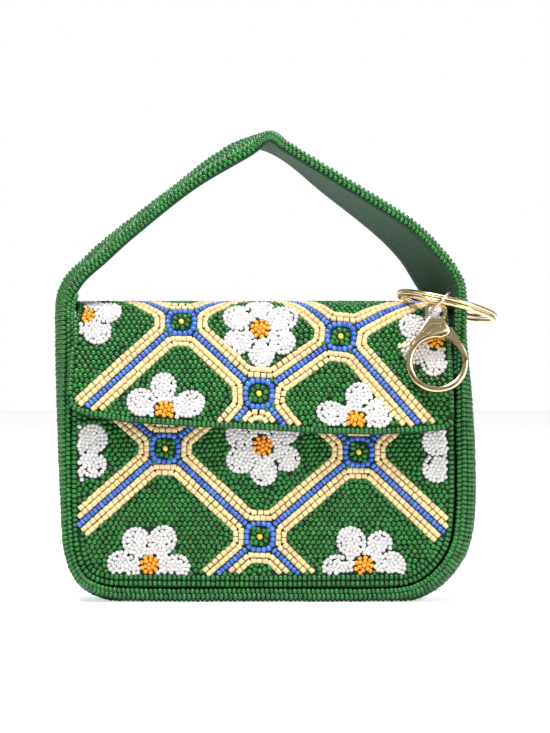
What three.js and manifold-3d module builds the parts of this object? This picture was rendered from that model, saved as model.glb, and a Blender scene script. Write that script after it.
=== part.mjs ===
// Small beaded baguette bag, standing on its base: a flap bag whose gusset runs on as the handle,
// with a split key ring round the foot of the handle and a lobster clasp hanging from the ring.
// Millimetres, +Z up, the flap faces -Y, and the origin is the middle of the base.
import * as THREE from 'three';
import { mergeVertices } from 'three/addons/utils/BufferGeometryUtils.js';
import Module from 'manifold-3d';

const manifold = await Module();
manifold.setup();

// Walls and clearances
const WALL = 3; // cloth with its beads
const LINING_WALL = 0.8;
const GAP = 0.35; // between pieces that touch

// Bag
const BODY_WIDTH = 131; // between the side walls' middles
const BODY_HEIGHT = 100; // base to the head of the side walls
const BAND_WIDTH = 24; // gusset and handle
const SEAM_LIFT = 1.9; // the bottom seam stands this far above the base's underside
const GUSSET_BULGE = 4.8;
const BULGE_POWER = 2.6;
const HANDLE_RISE = 57;
const HANDLE_LEAN = 9.4; // the handle's front edge stands this far right of its back edge
const HANDLE_LIFT = 0.8; // and this far above it
const PANEL_DOME = 2.2;
const DOME_POWER = 2.4;
const TOP_PINCH = 3.6; // the panels draw together at the top
const PINCH_START = 0.55; // share of the body's height
const BACK_PANEL_DROP = 8; // the panels end this far under the head of the side walls
const FRONT_PANEL_DROP = 6;

// Flap
const FLAP_RISE = 1.8; // the flap's top stands this far above the head of the side walls
const FLAP_SIDE_GAPS = 1.1; // gaps between the flap's sides and the gusset
const ROOM_FROM = 1.8; // walls below the lining's end where the flap's sides start to make room for it
const ROOM_TO = 1.3; // walls below the lining's end where they have made it
const FLAP_STAND = 8.4; // the flap's lower edge stands this far in front of the gusset
const FLAP_CROWN = 0.8; // the middle stands further forward than the sides
const LINING_DROP = 1; // the handle's lining starts this far under the head of the side walls

// Snap between flap and front panel
const SNAP_RADIUS = 6;
const SNAP_DROP = 32; // under the head of the side walls

// Key ring
const RING_DIAMETER = 35;
const RING_WIRE_WIDTH = 1.9; // along the ring's radius
const RING_WIRE_HEIGHT = 1.5;
const RING_TURN_GAP = 0.12;
const RING_JOG = 0.6; // radians over which the wire climbs to its second turn
const RING_INSET = 3.9; // the ring's middle, in from the side wall's middle
const RING_AHEAD = 1; // and in front of it
const RING_BELOW = 0.1; // and under the head of the side walls
const RING_ROLL = 14; // degrees, the right side hangs lower
const RING_TILT = 5; // degrees, the front stands higher

// Jump ring between key ring and clasp
const LINK_RADIUS = 4.2;
const LINK_WIRE = 1;
const LINK_SLOPE = 45; // degrees, seen from the front
const LINK_ASIDE = 2.75; // from the key ring's middle, towards the bag's
const LINK_BEHIND = 4.2; // behind the flap's foremost line
const LINK_DROP = 0.6; // the link's middle hangs this far under the key ring's wire

// Lobster clasp, measured from the middle of its eye
const EYE_OUTER = 3.7;
const EYE_HOLE = 2.6;
const EYE_THICKNESS = 1.6;
const CLASP_THICKNESS = 3.6;
const CLASP_BEVEL = 0.5;
const CLASP_TILT = 12.5; // degrees, the hook stands forward of the eye
const EYE_ASIDE = -1.65; // from the link's middle
const EYE_BEHIND = 1;
const EYE_BELOW = 3.7;
const NECK_HALF_WIDTH = 2.5;
const NECK_TOP = -1.9;
const HOOK_OUTER = 10.3;
const HOOK_INNER = 8.4;
const HOOK_X = 0.2;
const HOOK_DROP = 17.4;
const PIVOT_X = 2.6;
const PIVOT_DROP = 6.8;
const BOSS_RADIUS = 1.95;
const SLIT = 0.3;
const SLIT_ANGLE = 5; // degrees, where the slit meets the hook's outside
const SLOT_WIDTH = 1.6;
const SLOT_TOP = -4.8;
const SLOT_BOTTOM = -12.4;
const RECESS_DEPTH = 0.4;
const LEVER_PLATE = 1;
const LEVER_BOSS = 1.65;
const GATE_THICKNESS = 3;
const GATE_TANGENT = 31.7; // degrees, where the gate's straight back meets the round
const GATE_HEAD = 2.9;
const GATE_HEAD_ANGLE = 25;
const ARM_WIDTH = 1.4;
const ARM_END = 138; // degrees round the hook
const TAB_LENGTH = 6;
const TAB_ROOT = 2.4; // flat out to here, round beyond
const TAB_STEM = 0.65;
const TAB_BALL = 0.95;
const TAB_TURN = 9; // degrees below level
const PIN_RADIUS = 0.65;
const PIN_CLEARANCE = 0.3;
const PIN_LENGTH = 2.4;

const GREEN = 0x2f7a3a;
const LINING_GREEN = 0x173f2a;
const GOLD = 0xe2c79a;

const BASE = WALL / 2 + SEAM_LIFT;
const HALF_WIDTH = BODY_WIDTH / 2;
const HALF_BAND = BAND_WIDTH / 2;
const BACK_PANEL_TOP = BODY_HEIGHT - BACK_PANEL_DROP;
const FRONT_PANEL_TOP = BODY_HEIGHT - FRONT_PANEL_DROP;
const LINING_END = BODY_HEIGHT - LINING_DROP;
const SNAP_HEIGHT = BODY_HEIGHT - SNAP_DROP;
const FLAP_TOP = BODY_HEIGHT + FLAP_RISE;
const FLAP_END = BODY_HEIGHT / 2; // the profile runs on below every point of the lower edge
const FLAP_REACH = HALF_BAND + FLAP_STAND;
const RING_X = HALF_WIDTH - RING_INSET;
const LINK_X = RING_X - LINK_ASIDE;
const LINK_Y = LINK_BEHIND - FLAP_REACH;

// The band's route, anticlockwise from the middle of the bottom. x is a share of half the body's width,
// body a share of its height, rise a share of the handle's, lean and bulge shares of those sizes.
const BAND_PATH = [
  { x: 0, body: 0, rise: 0, lean: 0, bulge: 0.66 },
  { x: 0.61, body: 0, rise: 0, lean: 0, bulge: 0.66 },
  { x: 0.765, body: 0.014, rise: 0, lean: 0, bulge: 0.7 },
  { x: 0.886, body: 0.068, rise: 0, lean: 0, bulge: 0.8 },
  { x: 0.972, body: 0.16, rise: 0, lean: 0, bulge: 0.92 },
  { x: 1, body: 0.3, rise: 0, lean: 0, bulge: 1 },
  { x: 1, body: 0.6, rise: 0, lean: 0, bulge: 0.85 },
  { x: 0.99, body: 0.86, rise: 0, lean: 0.2, bulge: 0.45 },
  { x: 0.96, body: 1, rise: 0, lean: 0.85, bulge: 0.25 },
  { x: 0.911, body: 1, rise: 0.154, lean: 1.28, bulge: 0 },
  { x: 0.816, body: 1, rise: 0.315, lean: 1.2, bulge: 0 },
  { x: 0.681, body: 1, rise: 0.472, lean: 1.17, bulge: 0 },
  { x: 0.376, body: 1, rise: 0.721, lean: 0.72, bulge: 0 },
  { x: 0.1, body: 1, rise: 0.94, lean: 0.25, bulge: 0 },
  { x: -0.03, body: 1, rise: 1.002, lean: 0.8, bulge: 0 },
  { x: -0.167, body: 1, rise: 0.915, lean: 1.25, bulge: 0 },
  { x: -0.426, body: 1, rise: 0.716, lean: 0.7, bulge: 0 },
  { x: -0.757, body: 1, rise: 0.419, lean: 0.79, bulge: 0 },
  { x: -0.896, body: 1, rise: 0.275, lean: 0.8, bulge: 0 },
  { x: -1.002, body: 1, rise: 0.154, lean: 0.66, bulge: 0 },
  { x: -1.046, body: 1, rise: 0.02, lean: 0.45, bulge: 0.2 },
  { x: -1.023, body: 0.86, rise: 0, lean: 0.15, bulge: 0.62 },
  { x: -1.021, body: 0.6, rise: 0, lean: 0, bulge: 0.5 },
  { x: -1.021, body: 0.3, rise: 0, lean: 0, bulge: 0.25 },
  { x: -1.003, body: 0.135, rise: 0, lean: 0, bulge: 0.24 },
  { x: -0.94, body: 0.045, rise: 0, lean: 0, bulge: 0.32 },
  { x: -0.82, body: 0.008, rise: 0, lean: 0, bulge: 0.5 },
  { x: -0.62, body: 0, rise: 0, lean: 0, bulge: 0.66 },
];
const STEPS_A_ROW = 4;
const HANDLE_TOP_ROW = 14;

// The flap's outer side from its back seam to below its lower edge. reach is a share of the flap's
// reach, height a share of the way from the profile's end to the top.
const FLAP_PROFILE = [
  { reach: 0.5, height: (BACK_PANEL_TOP + GAP - FLAP_END) / (FLAP_TOP - FLAP_END) },
  { reach: 0.492, height: 0.868 },
  { reach: 0.44, height: 0.918 },
  { reach: 0.335, height: 0.957 },
  { reach: 0.19, height: 0.985 },
  { reach: -0.03, height: 1 },
  { reach: -0.25, height: 0.994 },
  { reach: -0.42, height: 0.965 },
  { reach: -0.54, height: 0.915 },
  { reach: -0.65, height: 0.83 },
  { reach: -0.745, height: 0.7 },
  { reach: -0.825, height: 0.55 },
  { reach: -0.9, height: 0.385 },
  { reach: -0.96, height: 0.2 },
  { reach: -1, height: 0 },
];

// The flap's two sides, as shares of half the body's width, by share of the height above.
const FLAP_SIDES = [
  { height: 0, left: -1.005, right: 0.968 },
  { height: 0.4, left: -1.01, right: 0.966 },
  { height: 0.6, left: -1.002, right: 0.962 },
  { height: 0.8, left: -0.994, right: 0.95 },
  { height: 1, left: -0.982, right: 0.936 },
];

// The flap's lower edge: x from the left side to the right, drop as a share of the body's height.
const FLAP_HEM = [
  { x: 0, height: 0.68 },
  { x: 0.012, height: 0.651 },
  { x: 0.04, height: 0.635 },
  { x: 0.15, height: 0.61 },
  { x: 0.33, height: 0.595 },
  { x: 0.5, height: 0.585 },
  { x: 0.66, height: 0.572 },
  { x: 0.8, height: 0.568 },
  { x: 0.92, height: 0.577 },
  { x: 0.975, height: 0.584 },
  { x: 0.993, height: 0.6 },
  { x: 1, height: 0.63 },
];

// The clasp's recessed neck, as shares of the hook's drop below the eye.
const RECESS = [
  { x: -0.08, down: 0.25 },
  { x: 0.09, down: 0.25 },
  { x: 0.15, down: 0.275 },
  { x: 0.03, down: 0.315 },
  { x: -0.15, down: 0.435 },
  { x: -0.34, down: 0.555 },
  { x: -0.42, down: 0.61 },
  { x: -0.43, down: 0.545 },
];

const radians = THREE.MathUtils.degToRad;

// A value between the rows of a table, by its first column.
function between(rows, key, at, column) {
  let i = 0;
  while (i < rows.length - 2 && rows[i + 1][key] < at) {
    i += 1;
  }
  const share = THREE.MathUtils.clamp((at - rows[i][key]) / (rows[i + 1][key] - rows[i][key]), 0, 1);
  return THREE.MathUtils.lerp(rows[i][column], rows[i + 1][column], share);
}

// A smooth curve through points of any number of columns, with knots a chord apart.
// at is a row number with its fraction, and closed joins the last row to the first.
function through(points, at, closed) {
  const count = points.length;
  const row = (i) => points[closed ? (i + 2 * count) % count : THREE.MathUtils.clamp(i, 0, count - 1)];
  const chord = (a, b) => Math.max(Math.hypot(row(b)[0] - row(a)[0], row(b)[1] - row(a)[1]), 1e-6);
  const i = closed ? Math.floor(at) : Math.min(Math.floor(at), count - 2);
  const t = at - i;
  const before = chord(i - 1, i);
  const here = chord(i, i + 1);
  const after = chord(i + 1, i + 2);
  return row(i).map((start, column) => {
    const end = row(i + 1)[column];
    const leave = ((end - row(i - 1)[column]) / (before + here)) * here;
    const arrive = ((row(i + 2)[column] - start) / (here + after)) * here;
    const bend = (2 * t ** 3 - 3 * t ** 2 + 1) * start + (3 * t ** 2 - 2 * t ** 3) * end;
    return bend + (t ** 3 - 2 * t ** 2 + t) * leave + (t ** 3 - t ** 2) * arrive;
  });
}

const bandRows = BAND_PATH.map((row) => [
  row.x * HALF_WIDTH,
  BASE + row.body * (BODY_HEIGHT - BASE) + row.rise * HANDLE_RISE,
  row.lean,
  row.bulge * GUSSET_BULGE,
]);

// A point of the band: at is a row of the route, across runs from -1 at the front edge to 1 at the
// back, and out is the distance outward from the middle of the wall.
function bandPoint(at, across, out) {
  const [x, z, lean, bulge] = through(bandRows, at, true);
  const [aheadX, aheadZ] = through(bandRows, at + 0.01, true);
  const length = Math.hypot(aheadX - x, aheadZ - z);
  const offset = out + bulge * (1 - Math.abs(across) ** BULGE_POWER);
  return [
    x - (across * lean * HANDLE_LEAN) / 2 + ((aheadZ - z) / length) * offset,
    across * HALF_BAND,
    Math.max(
      z - (across * lean * HANDLE_LIFT) / 2 - ((aheadX - x) / length) * offset,
      WALL / 2 - out,
    ),
  ];
}

// How far the space inside the band reaches at a height, on its right or left side.
function bandReach(right, across, height, out) {
  const turn = right ? 1 : -1;
  let last = bandPoint(0, across, out);
  for (let step = 1; step <= HANDLE_TOP_ROW * 12; step += 1) {
    const next = bandPoint((turn * step) / 12, across, out);
    if (last[2] <= height && next[2] > height) {
      return THREE.MathUtils.lerp(last[0], next[0], (height - last[2]) / (next[2] - last[2]));
    }
    last = next;
  }
  return last[0];
}

// The nearest side of that space over a stretch of the band's width.
function nearestReach(right, from, to, height, out) {
  const reaches = [0, 0.25, 0.5, 0.75, 1].map((share) =>
    bandReach(right, THREE.MathUtils.lerp(from, to, share), height, out),
  );
  return right ? Math.min(...reaches) : Math.max(...reaches);
}

// A closed wall over a grid of columns and rows: side 1 is its outer face and side 0 its inner one.
function wall(columns, rows, loop, point) {
  const across = loop ? columns : columns + 1;
  const positions = [];
  for (const side of [1, 0]) {
    for (let row = 0; row <= rows; row += 1) {
      for (let column = 0; column < across; column += 1) {
        positions.push(...point(column / columns, row / rows, side));
      }
    }
  }
  const inner = across * (rows + 1);
  const index = [];
  const quad = (a, b, c, d) => index.push(a, b, c, a, c, d);
  const corner = (column, row) => row * across + (column % across);
  for (let row = 0; row < rows; row += 1) {
    for (let column = 0; column < columns; column += 1) {
      const [a, b] = [corner(column, row), corner(column + 1, row)];
      const [c, d] = [corner(column + 1, row + 1), corner(column, row + 1)];
      quad(a, b, c, d);
      quad(inner + d, inner + c, inner + b, inner + a);
    }
  }
  for (let column = 0; column < columns; column += 1) {
    const [a, b] = [corner(column, 0), corner(column + 1, 0)];
    const [c, d] = [corner(column, rows), corner(column + 1, rows)];
    quad(b, a, inner + a, inner + b);
    quad(c, d, inner + d, inner + c);
  }
  if (!loop) {
    for (let row = 0; row < rows; row += 1) {
      const [a, b] = [corner(0, row), corner(0, row + 1)];
      const [c, d] = [corner(columns, row), corner(columns, row + 1)];
      quad(a, b, inner + b, inner + a);
      quad(d, c, inner + c, inner + d);
    }
  }
  const geometry = new THREE.BufferGeometry();
  geometry.setAttribute('position', new THREE.Float32BufferAttribute(positions, 3));
  geometry.setIndex(index);
  return geometry;
}

// Gusset and handle, one closed band.
function gussetStrap() {
  const columns = BAND_PATH.length * STEPS_A_ROW;
  return wall(columns, 6, true, (around, across, side) =>
    bandPoint(around * BAND_PATH.length, 1 - 2 * across, (side - 0.5) * WALL),
  );
}

// The row of the band's route where it passes a height on the right or left.
function rowAtHeight(right, height) {
  const turn = right ? 1 : -1;
  let at = 0;
  while (through(bandRows, at, true)[1] < height) {
    at += turn * 0.02;
  }
  return at;
}

// The cloth inside the handle, from one end to the other.
function handleLining() {
  const start = rowAtHeight(true, LINING_END);
  const end = rowAtHeight(false, LINING_END) + BAND_PATH.length;
  return wall(44, 2, false, (along, across, side) =>
    bandPoint(
      THREE.MathUtils.lerp(start, end, along),
      0.92 * (1 - 2 * across),
      -WALL / 2 - GAP - (1 - side) * LINING_WALL,
    ),
  );
}

// How far the panels draw in towards each other at a height.
function pinch(height) {
  const share = (height / BODY_HEIGHT - PINCH_START) / (1 - PINCH_START);
  return TOP_PINCH * THREE.MathUtils.smootherstep(share, 0, 1);
}

const seamHeight = BASE + WALL / 2 + GAP;

// The outer face of a panel, measured from the bag's middle.
function panelFace(share, height, top) {
  const up = (height - seamHeight) / (top - seamHeight);
  const sideways = 1 - Math.abs(2 * share - 1) ** DOME_POWER;
  const upwards = 1 - Math.abs(2 * up - 1) ** DOME_POWER;
  return HALF_BAND - pinch(height) + PANEL_DOME * sideways * upwards;
}

// The front or back wall inside the band, with turn -1 for the front.
function panel(turn, top) {
  const out = -WALL / 2 - GAP;
  return wall(16, 12, false, (across, upward, side) => {
    const share = turn < 0 ? across : 1 - across;
    const height = seamHeight + 0.04 + (top - seamHeight - 0.04) * upward ** 1.5;
    const left = nearestReach(false, turn, turn * 0.5, height, out);
    const right = nearestReach(true, turn, turn * 0.5, height, out);
    const y = turn * (panelFace(share, height, top) - (1 - side) * WALL);
    return [THREE.MathUtils.lerp(left, right, share), y, height];
  });
}

const flapRows = FLAP_PROFILE.map((row) => [
  row.reach * FLAP_REACH,
  FLAP_END + row.height * (FLAP_TOP - FLAP_END),
]);

// The flap's profile at a row of its table, moved inward by depth.
function flapProfile(at, depth) {
  const [y, z] = through(flapRows, at, false);
  const [aheadY, aheadZ] = through(flapRows, Math.min(at + 0.01, flapRows.length - 1), false);
  const [backY, backZ] = through(flapRows, Math.max(at - 0.01, 0), false);
  const length = Math.hypot(aheadY - backY, aheadZ - backZ);
  return [y - (depth * (aheadZ - backZ)) / length, z + (depth * (aheadY - backY)) / length];
}

// The row of the profile where the front of the flap passes a height.
function flapRowAt(height) {
  let [low, high] = [5, flapRows.length - 1];
  for (let step = 0; step < 24; step += 1) {
    const middle = (low + high) / 2;
    if (through(flapRows, middle, false)[1] > height) {
      low = middle;
    } else {
      high = middle;
    }
  }
  return low;
}

// How far the flap reaches to one side at a row of its profile, always clear of the band.
function flapSide(right, at) {
  const [y, z] = flapProfile(at, WALL);
  const share = (z - FLAP_END) / (FLAP_TOP - FLAP_END);
  const wanted = between(FLAP_SIDES, 'height', share, right ? 'right' : 'left') * HALF_WIDTH;
  if (Math.abs(y) > HALF_BAND + GAP) {
    return wanted;
  }
  const [from, to] = [-2 * WALL, 2 * WALL].map((reach) =>
    THREE.MathUtils.clamp((y + reach) / HALF_BAND, -1, 1),
  );
  const lining = THREE.MathUtils.smoothstep(z, LINING_END - ROOM_FROM * WALL, LINING_END - ROOM_TO * WALL);
  const out = -WALL / 2 - FLAP_SIDE_GAPS * GAP - lining * (LINING_WALL + GAP);
  const limit = nearestReach(right, from, to, z, out);
  return right ? Math.min(wanted, limit) : Math.max(wanted, limit);
}

const flapShares = Array.from({ length: 19 }, (_, i) => i / 18);
const flapColumns = [0, 0.012, 0.04, ...flapShares.slice(2, 17), 0.975, 0.993, 1];

// The flap, from its seam at the back over the top and down the front.
function flap() {
  const last = flapColumns.length - 1;
  return wall(last, 22, false, (across, along, side) => {
    const share = flapColumns[Math.round(across * last)];
    const hem = flapRowAt(between(FLAP_HEM, 'x', share, 'height') * BODY_HEIGHT);
    const at = (1 - along) * hem;
    const [y, z] = flapProfile(at, (1 - side) * WALL);
    const crown = FLAP_CROWN * (1 - (2 * share - 1) ** 2) * THREE.MathUtils.smoothstep(at, 6, 9);
    return [THREE.MathUtils.lerp(flapSide(false, at), flapSide(true, at), share), y - crown, z];
  });
}

// The snap fills the space between the front panel and the flap, with a gap on both sides.
function magneticSnap() {
  return wall(6, 6, false, (across, upward, side) => {
    const [u, v] = [2 * across - 1, 2 * upward - 1];
    const x = SNAP_RADIUS * u * Math.sqrt(1 - (v * v) / 2);
    const z = SNAP_HEIGHT + SNAP_RADIUS * v * Math.sqrt(1 - (u * u) / 2);
    const panelY = -panelFace(0.5, z, FRONT_PANEL_TOP) - GAP;
    const at = flapRowAt(z);
    const flapY = flapProfile(at, WALL)[0] - FLAP_CROWN + GAP;
    return [x, side ? flapY : panelY, z];
  });
}

// The split ring: two turns of one wire, which climbs to its second turn at the ring's left.
function keyRing() {
  const middle = (RING_DIAMETER - RING_WIRE_WIDTH) / 2;
  const pitch = RING_WIRE_HEIGHT + RING_TURN_GAP;
  const total = 4 * Math.PI - RING_JOG;
  const section = Array.from({ length: 8 }, (_, i) => {
    const angle = ((i + 0.5) * Math.PI) / 4;
    const round = (value) => Math.sign(value) * Math.abs(value) ** 0.8;
    return [(round(Math.cos(angle)) * RING_WIRE_WIDTH) / 2, (round(Math.sin(angle)) * RING_WIRE_HEIGHT) / 2];
  });
  const steps = 78;
  const positions = [];
  for (let step = 0; step <= steps; step += 1) {
    const turned = (total * step) / steps;
    const climb = THREE.MathUtils.smoothstep(turned, 2 * Math.PI - RING_JOG, 2 * Math.PI);
    const angle = turned + Math.PI * 1.08;
    for (const [outward, upward] of section) {
      const radius = middle + outward;
      positions.push(radius * Math.cos(angle), radius * Math.sin(angle), (climb - 0.5) * pitch + upward);
    }
  }
  const index = [];
  const size = section.length;
  for (let step = 0; step < steps; step += 1) {
    for (let i = 0; i < size; i += 1) {
      const [a, b] = [step * size + i, step * size + ((i + 1) % size)];
      index.push(a, a + size, b, b, a + size, b + size);
    }
  }
  for (let i = 1; i < size - 1; i += 1) {
    const end = steps * size;
    index.push(0, i, i + 1, end, end + i + 1, end + i);
  }
  const geometry = new THREE.BufferGeometry();
  geometry.setAttribute('position', new THREE.Float32BufferAttribute(positions, 3));
  geometry.setIndex(index);
  return geometry;
}

// A closed geometry as a solid that can be joined and cut.
function solid(geometry) {
  const bare = geometry.clone();
  bare.deleteAttribute('normal');
  bare.deleteAttribute('uv');
  const merged = mergeVertices(bare, 1e-5);
  const corners = merged.index.array;
  const kept = [];
  for (let i = 0; i < corners.length; i += 3) {
    const [a, b, c] = corners.slice(i, i + 3);
    if (a !== b && b !== c && c !== a) {
      kept.push(a, b, c);
    }
  }
  return new manifold.Manifold(
    new manifold.Mesh({
      numProp: 3,
      vertProperties: new Float32Array(merged.attributes.position.array),
      triVerts: new Uint32Array(kept),
    }),
  );
}

// The geometry of a finished solid.
function finished(shape) {
  const mesh = shape.getMesh();
  const geometry = new THREE.BufferGeometry();
  geometry.setAttribute('position', new THREE.Float32BufferAttribute(mesh.vertProperties, 3));
  geometry.setIndex(Array.from(mesh.triVerts));
  return geometry;
}

// A flat outline as a plate in the clasp's plane, centred on it.
function plate(shape, thickness, bevel, segments) {
  const geometry = new THREE.ExtrudeGeometry(shape, {
    depth: thickness - 2 * bevel,
    bevelEnabled: bevel > 0,
    bevelThickness: bevel,
    bevelSize: bevel,
    bevelOffset: -bevel,
    bevelSegments: 2,
    curveSegments: segments,
  });
  geometry.translate(0, 0, bevel - thickness / 2);
  geometry.rotateX(Math.PI / 2);
  return solid(geometry);
}

// A round bar across the clasp, centred on its plane.
function bar(x, z, radius, length, sides = 20) {
  const geometry = new THREE.CylinderGeometry(radius, radius, length, sides);
  geometry.translate(x, 0, z);
  return solid(geometry);
}

// A block that spans x and z from low to high, centred on the clasp's plane.
function block(lowX, highX, lowZ, highZ, thickness, middle = 0) {
  const geometry = new THREE.BoxGeometry(highX - lowX, thickness, highZ - lowZ);
  geometry.translate((lowX + highX) / 2, middle, (lowZ + highZ) / 2);
  return solid(geometry);
}

// A point on a circle about the hook's middle or the pivot.
function around(x, z, radius, degrees) {
  return [x + radius * Math.cos(radians(degrees)), z + radius * Math.sin(radians(degrees))];
}

const slitPoint = around(HOOK_X, -HOOK_DROP, HOOK_OUTER, SLIT_ANGLE);
const slitRadius = Math.hypot(slitPoint[0] - PIVOT_X, slitPoint[1] + PIVOT_DROP);

// Hook, neck and eye, slotted for the lever.
function claspBody() {
  const outline = new THREE.Shape();
  const reach = Math.hypot(-NECK_HALF_WIDTH - HOOK_X, NECK_TOP + HOOK_DROP);
  const toNeck = Math.atan2(NECK_TOP + HOOK_DROP, -NECK_HALF_WIDTH - HOOK_X);
  const tangent = toNeck + Math.acos(HOOK_OUTER / reach);
  const end = radians(SLIT_ANGLE + 3);
  outline.moveTo(-NECK_HALF_WIDTH, NECK_TOP);
  outline.lineTo(NECK_HALF_WIDTH, NECK_TOP);
  outline.absarc(PIVOT_X, -PIVOT_DROP, BOSS_RADIUS, radians(15), radians(-95), true);
  outline.absarc(HOOK_X, -HOOK_DROP, HOOK_INNER, radians(78), end + 2 * Math.PI, false);
  outline.absarc(HOOK_X, -HOOK_DROP, HOOK_OUTER, end + 2 * Math.PI, tangent, true);
  const right = block(HOOK_X + HOOK_INNER / 2, 2 * HOOK_OUTER, -2 * HOOK_DROP, 0, 3 * CLASP_THICKNESS);
  const above = block(HOOK_X, 2 * HOOK_OUTER, HOOK_OUTER / 2 - HOOK_DROP, 0, 3 * CLASP_THICKNESS);
  const tip = bar(PIVOT_X, -PIVOT_DROP, slitRadius + SLIT, 2 * CLASP_THICKNESS, 40)
    .intersect(right.subtract(above));
  const recess = new THREE.Shape(
    RECESS.map((row) => new THREE.Vector2(row.x * HOOK_DROP, -row.down * HOOK_DROP)),
  );
  const pocket = plate(recess, RECESS_DEPTH * 2, 0, 8).translate([0, -CLASP_THICKNESS / 2, 0]);
  return plate(outline, CLASP_THICKNESS, CLASP_BEVEL, 12)
    .add(bar(0, 0, EYE_OUTER, EYE_THICKNESS, 24))
    .subtract(bar(0, 0, EYE_HOLE, 2 * CLASP_THICKNESS, 20))
    .subtract(block(-2 * HOOK_OUTER, 2 * HOOK_OUTER, SLOT_BOTTOM, SLOT_TOP, SLOT_WIDTH))
    .subtract(bar(PIVOT_X, -PIVOT_DROP, PIN_RADIUS + PIN_CLEARANCE, PIN_LENGTH + 2 * PIN_CLEARANCE))
    .subtract(tip)
    .subtract(pocket);
}

// The gate, its arm through the body's slot and its thumb tab.
function claspLever() {
  const gate = new THREE.Shape();
  const head = around(PIVOT_X, -PIVOT_DROP, GATE_HEAD, GATE_HEAD_ANGLE);
  gate.moveTo(PIVOT_X, -PIVOT_DROP);
  gate.lineTo(...head);
  gate.absarc(HOOK_X, -HOOK_DROP, HOOK_OUTER, radians(GATE_TANGENT), radians(-8), true);
  gate.absarc(HOOK_X, -HOOK_DROP, HOOK_INNER, radians(-8), radians(64), false);
  const tip = bar(PIVOT_X, -PIVOT_DROP, slitRadius, 2 * CLASP_THICKNESS, 40);
  const clear = bar(PIVOT_X, -PIVOT_DROP, BOSS_RADIUS + SLIT, 2 * CLASP_THICKNESS, 24);
  const thick = plate(gate, GATE_THICKNESS, 0, 8).subtract(clear);
  const middle = (HOOK_OUTER + HOOK_INNER) / 2;
  const arm = new THREE.Shape();
  arm.absarc(HOOK_X, -HOOK_DROP, middle + ARM_WIDTH / 2, radians(70), radians(ARM_END), false);
  arm.absarc(HOOK_X, -HOOK_DROP, middle - ARM_WIDTH / 2, radians(ARM_END), radians(70), true);
  const [tabX, tabZ] = around(HOOK_X, -HOOK_DROP, middle, ARM_END - 4);
  const stem = new THREE.CylinderGeometry(TAB_STEM, TAB_STEM, TAB_LENGTH - TAB_ROOT, 8);
  stem.rotateZ(Math.PI / 2);
  stem.translate(-(TAB_LENGTH + TAB_ROOT) / 2, 0, 0);
  // The tab's root is a flat strip, thin enough for the slot.
  let thumb = block(-TAB_ROOT - TAB_STEM / 2, TAB_STEM, -TAB_STEM, TAB_STEM, LEVER_PLATE).add(solid(stem));
  for (const place of [0, 2 * TAB_BALL]) {
    const ball = new THREE.SphereGeometry(TAB_BALL, 10, 6);
    ball.translate(place - TAB_LENGTH, 0, 0);
    thumb = thumb.add(solid(ball));
  }
  thumb = thumb.rotate([0, -TAB_TURN, 0]).translate([tabX, 0, tabZ]);
  return plate(gate, LEVER_PLATE, 0, 8)
    .add(thick)
    .intersect(tip)
    .add(bar(PIVOT_X, -PIVOT_DROP, LEVER_BOSS, LEVER_PLATE, 20))
    .add(plate(arm, LEVER_PLATE, 0, 12))
    .add(thumb)
    .subtract(bar(PIVOT_X, -PIVOT_DROP, PIN_RADIUS + PIN_CLEARANCE, 2 * CLASP_THICKNESS, 16));
}

function leverPin() {
  const pin = new THREE.CylinderGeometry(PIN_RADIUS, PIN_RADIUS, PIN_LENGTH, 14);
  pin.translate(PIVOT_X, 0, -PIVOT_DROP);
  return pin;
}

function piece(name, geometry, color, metalness, roughness) {
  geometry.computeVertexNormals();
  const mesh = new THREE.Mesh(
    geometry,
    new THREE.MeshStandardMaterial({ color, metalness, roughness }),
  );
  mesh.name = name;
  return mesh;
}

const beaded = (name, geometry) => piece(name, geometry, GREEN, 0, 0.4);
const metal = (name, geometry) => piece(name, geometry, GOLD, 1, 0.25);

const bag = new THREE.Group();
bag.add(beaded('gusset_strap', gussetStrap()));
bag.add(beaded('front_panel', panel(-1, FRONT_PANEL_TOP)));
bag.add(beaded('back_panel', panel(1, BACK_PANEL_TOP)));
bag.add(beaded('flap', flap()));
bag.add(piece('handle_lining', handleLining(), LINING_GREEN, 0, 0.8));
bag.add(piece('magnetic_snap', magneticSnap(), GOLD, 1, 0.4));

const ring = metal('key_ring', keyRing());
ring.position.set(RING_X, -RING_AHEAD, BODY_HEIGHT - RING_BELOW);
ring.rotation.set(radians(-RING_TILT), radians(RING_ROLL), 0);
bag.add(ring);

// The link hangs on the front of the key ring, in a plane that runs front to back.
const ringMiddle = (RING_DIAMETER - RING_WIRE_WIDTH) / 2;
const linkZ = BODY_HEIGHT - RING_BELOW + (RING_X - LINK_X) * Math.tan(radians(RING_ROLL))
  + ringMiddle * Math.sin(radians(RING_TILT)) - LINK_DROP;
const link = metal('link_ring', new THREE.TorusGeometry(LINK_RADIUS, LINK_WIRE / 2, 6, 16));
link.position.set(LINK_X, LINK_Y, linkZ);
const linkNormal = new THREE.Vector3(Math.sin(radians(LINK_SLOPE)), 0, -Math.cos(radians(LINK_SLOPE)));
link.quaternion.setFromUnitVectors(new THREE.Vector3(0, 0, 1), linkNormal);
bag.add(link);

const clasp = new THREE.Group();
clasp.position.set(LINK_X + EYE_ASIDE, LINK_Y + EYE_BEHIND, linkZ - EYE_BELOW);
clasp.rotation.x = -radians(CLASP_TILT);
clasp.add(metal('clasp_body', finished(claspBody())));
clasp.add(metal('clasp_lever', finished(claspLever())));
clasp.add(metal('lever_pin', leverPin()));
bag.add(clasp);

export default bag;
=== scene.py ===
"""Looks of a small beaded baguette bag: glass seed beads sewn on cloth, a lined handle and gold metal.

Sizes are millimetres, as in the part's source, until a mesh is made. +Z is up and the flap faces -Y.
Beads are laid out on each surface's own flat coordinates (u, v), then set on the surface.
"""

import logging
import math
from dataclasses import dataclass, field
from enum import Enum
from typing import Callable

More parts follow.
